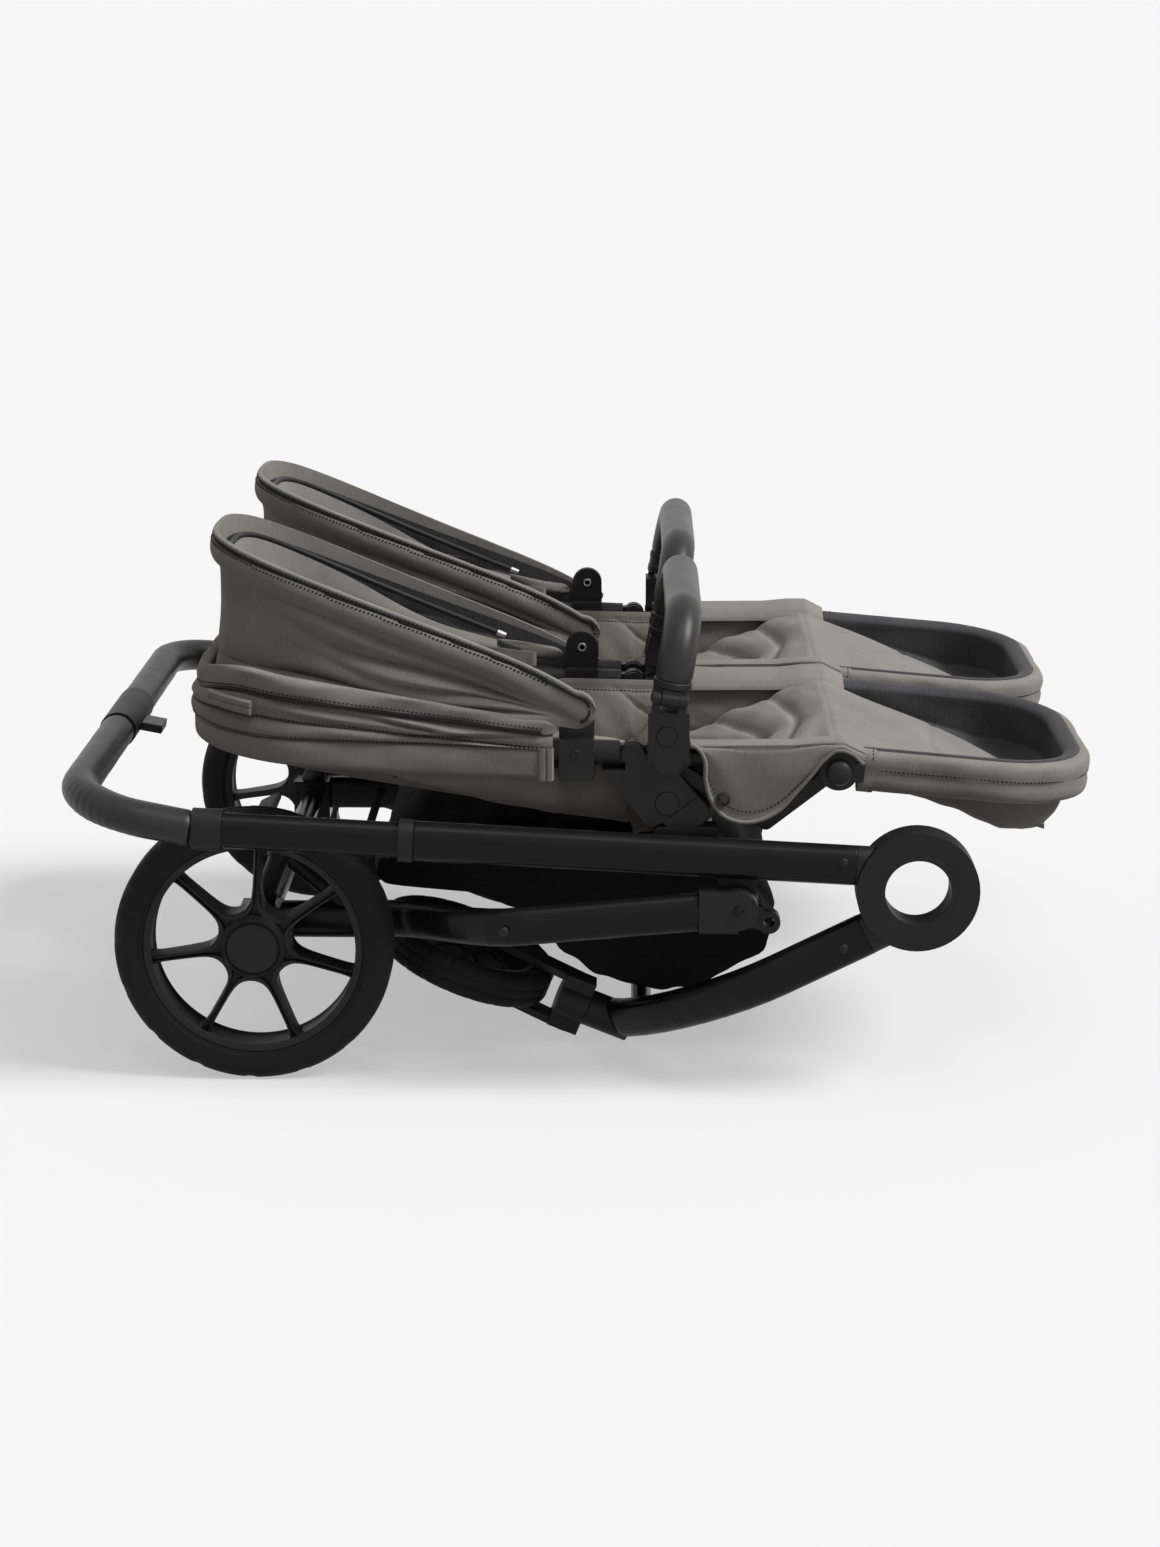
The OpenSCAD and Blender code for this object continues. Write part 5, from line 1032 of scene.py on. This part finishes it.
liner_z = liner_top + (floor_at - liner_top) * liner_fall
liner_face = liner_path[:, None] - inward[..., None] * liner_out[:, None]
liner_face[..., 2] = np.concatenate([liner_top + LINER_OVER * np.sin(over), liner_z], 1)
fallen = np.concatenate([np.zeros((1, 8)), liner_fall], 1)
liner_back = liner_face + LINER_THICK * liner_out[:, None] * (1 - 0.6 * fallen[..., None])
liner_back[..., 2] -= LINER_THICK

POUCH_REAR, POUCH_LONG = 640, 212
pouch_u, pouch_v = shares(60, 90)
pouch_x = POUCH_REAR + POUCH_LONG * pouch_u
pouch_edge = KNEE[2] - (pouch_x - KNEE[0]) * math.tan(TILT) - 20
pouch_deep = np.interp(pouch_x, [640, 700, 780, 804, 826, 842, 852], [324, 304, 269, 264, 268, 279, 294])
pouch_half = 58 + np.sqrt(80 ** 2 - np.clip(pouch_x - 775, 0, None) ** 2)
pouch_bow = (1 - np.abs(pouch_v) ** 9) ** (1 / 2.2)
pouch_z = pouch_edge + (pouch_deep - pouch_edge) * pouch_bow
pouch_z = pouch_z + ripple((1.0, 0.1 * pouch_x + 4 * pouch_v), (0.6, 0.19 * pouch_x)) * pouch_bow
pouch_face = np.stack([pouch_x, pouch_half * pouch_v, pouch_z], -1)

CUFF = 6
cuffs = []
for at in (slice(0, CUFF), slice(len(band_path) - CUFF, len(band_path))):
    sleeve = (band_path[at, None] + (band_side * 1.1)[..., None] * outwards[at, None]
              + (band_rise * 1.06)[..., None] * upwards[at, None])
    cuffs.append(closed(sleeve, band_path[at][0], band_path[at][-1]))
KNUCKLE_Y = 174.8
knuckle_dome = np.array([[13, 0], [12.6, 2.2], [10.5, 4.6], [7, 6.2], [3.4, 6.9], [0, 7.1]])
domes = [turned(knuckle_dome * [1, rise], KNEE + flip * KNUCKLE_Y * across_y, facing(flip), 40)
         for flip, rise in ((1, 1.0), (-1, 0.6))]
pouch_faces = two_faced(pouch_face, pouch_face + [0, 0, CLOTH_THICK])

for label, sign in SIDES:
    body = f"legrest_{label}"
    cover = seat_piece(f"legrest_band_{label}", [leg_band], sign, taupe)
    calf = seat_piece(f"calf_pad_{label}", two_faced(calf_top, calf_under), sign, taupe)
    pocket = seat_piece(f"foot_pocket_{label}", two_faced(liner_face, liner_back), sign, lining)
    pouch = seat_piece(f"foot_pouch_{label}", pouch_faces, sign, taupe)
    seam_row = on_seat(band_path[CUFF:-CUFF] + 12.2 * outwards[CUFF:-CUFF], sign)
    top_row = on_seat(band_path[2:-2] - 9 * outwards[2:-2] + 20.6 * upwards[2:-2], sign)
    sewn_rows = stitches(seam_row + [0, 0, 3.0], thick=0.7) + stitches(top_row)
    for sleeve in (cuffs[0], cuffs[1][::-1]):
        sewn_rows += stitches(on_seat(sleeve[CUFF - 1, 4:41], sign), up=(1, 0, 0))
    sewn = build(f"legrest_stitch_{label}", sewn_rows, thread)
    cuff = seat_piece(f"legrest_cuff_{label}", cuffs, sign, taupe)
    dome = seat_piece(f"knee_dome_{label}", domes, sign, moulded, 42)
    for piece in (cover, calf, pocket, pouch, sewn, cuff, dome):
        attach(piece, body)
    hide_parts(f"legrest_cover_{label}")

# Rivets: domed black heads on the outer faces of the push tubes, front legs and rear legs.
# Each is one turned profile, and each pair has one on either side of the pram.
rivet = np.array([[0, -1.5], [5, -1.5], [5, 0.2], [4.4, 1.2], [2.6, 2.0], [0, 2.3]])
rivet_places = (("push_rivets", "chassis", (613, 376, 258)),
                ("front_rivets", "front_frame", (615, 376, 166)),
                ("rear_rivets", "rear_frame", (266, 382, 184)))
for name, body, (rivet_x, rivet_y, rivet_z) in rivet_places:
    pair = [turned(rivet, (rivet_x, sign * rivet_y, rivet_z), facing(sign), 32) for _, sign in SIDES]
    rivets = build(name, pair, moulded)
    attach(rivets, body)

# Stage: a pale floor under a sky that is brightest overhead, a wide soft sun and a faint one from the front.
# Camera, glossy and transmission rays see a plain pale backdrop; the floor keeps half of the shadow.
# The camera stands at the photo's viewpoint.
PALE = (0.93, 0.93, 0.93, 1)
DIM = (0.25, 0.25, 0.25, 1)
FLOOR_HALF = 400


def seen_rays(tree):
    """1 for camera, glossy and transmission rays, else 0."""
    rays = tree.nodes.new("ShaderNodeLightPath")
    total = rays.outputs["Is Camera Ray"]
    for kind in ("Is Glossy Ray", "Is Transmission Ray"):
        either = tree.nodes.new("ShaderNodeMath")
        either.operation = "MAXIMUM"
        tree.links.new(total, either.inputs[0])
        tree.links.new(rays.outputs[kind], either.inputs[1])
        total = either.outputs["Value"]
    return total


def mixed(tree, first, second):
    """A mix of two shaders in equal parts, until its factor is linked."""
    mix = tree.nodes.new("ShaderNodeMixShader")
    mix.inputs["Fac"].default_value = 0.5
    tree.links.new(first, mix.inputs[1])
    tree.links.new(second, mix.inputs[2])
    return mix


def by_ray(tree, hidden, shown, target):
    """Links one shader to the target for the rays that are seen, and another for those that only light."""
    mix = mixed(tree, hidden, shown)
    tree.links.new(seen_rays(tree), mix.inputs["Fac"])
    tree.links.new(mix.outputs["Shader"], target.inputs["Surface"])


floor_mesh = bpy.data.meshes.new("floor")
floor_corners = FLOOR_HALF * np.array([[-1, -1, 0], [1, -1, 0], [1, 1, 0], [-1, 1, 0]])
floor_mesh.from_pydata(floor_corners.tolist(), [], [(0, 1, 2, 3)])
floor = bpy.data.objects.new("floor", floor_mesh)
bpy.context.scene.collection.objects.link(floor)
pale = bpy.data.materials.new("pale_floor")
pale.use_nodes = True
tree = pale.node_tree
tree.nodes.remove(tree.nodes["Principled BSDF"])
lit_floor = tree.nodes.new("ShaderNodeBsdfDiffuse")
lit_floor.inputs["Color"].default_value = PALE
even_floor = tree.nodes.new("ShaderNodeEmission")
even_floor.inputs["Color"].default_value = PALE
dim_floor = tree.nodes.new("ShaderNodeBsdfDiffuse")
dim_floor.inputs["Color"].default_value = DIM
looked_at = mixed(tree, lit_floor.outputs["BSDF"], even_floor.outputs["Emission"])
by_ray(tree, dim_floor.outputs["BSDF"], looked_at.outputs["Shader"], tree.nodes["Material Output"])
floor_mesh.materials.append(pale)

world = bpy.data.worlds.new("studio")
bpy.context.scene.world = world
world.use_nodes = True
sky = world.node_tree
lit = sky.nodes["Background"]
direction = sky.nodes.new("ShaderNodeTexCoord")
axes = sky.nodes.new("ShaderNodeSeparateXYZ")
sky.links.new(direction.outputs["Generated"], axes.inputs["Vector"])
sky.links.new(ramp(sky, axes.outputs["Z"], (0.06, 0.06, 0.06), (1, 1, 1), 0.1, 1.0), lit.inputs["Color"])
lit.inputs["Strength"].default_value = 0.37
plain = sky.nodes.new("ShaderNodeBackground")
plain.inputs["Color"].default_value = PALE
plain.inputs["Strength"].default_value = 1.0
by_ray(sky, lit.outputs["Background"], plain.outputs["Background"], sky.nodes["World Output"])

for name, energy, spread, tilt, swing in (("key_sun", 2.85, 22, 8, 41), ("front_sun", 0.25, 20, 24, 0)):
    sun_lamp = bpy.data.lights.new(name, "SUN")
    sun_lamp.energy = energy
    sun_lamp.angle = math.radians(spread)
    sun = bpy.data.objects.new(name, sun_lamp)
    sun.rotation_euler = (math.radians(tilt), math.radians(swing), 0)
    bpy.context.scene.collection.objects.link(sun)

lens = bpy.data.cameras.new("camera")
lens.lens = 65.716
lens.sensor_width = 36
camera = bpy.data.objects.new("camera", lens)
camera.location = (0.058491, -3.12986, 1.11449)
camera.rotation_euler = (math.radians(90 - 15.487), 0, math.radians(1.0752))
bpy.context.scene.collection.objects.link(camera)
bpy.context.scene.camera = camera
bpy.context.scene.view_settings.view_transform = "Standard"
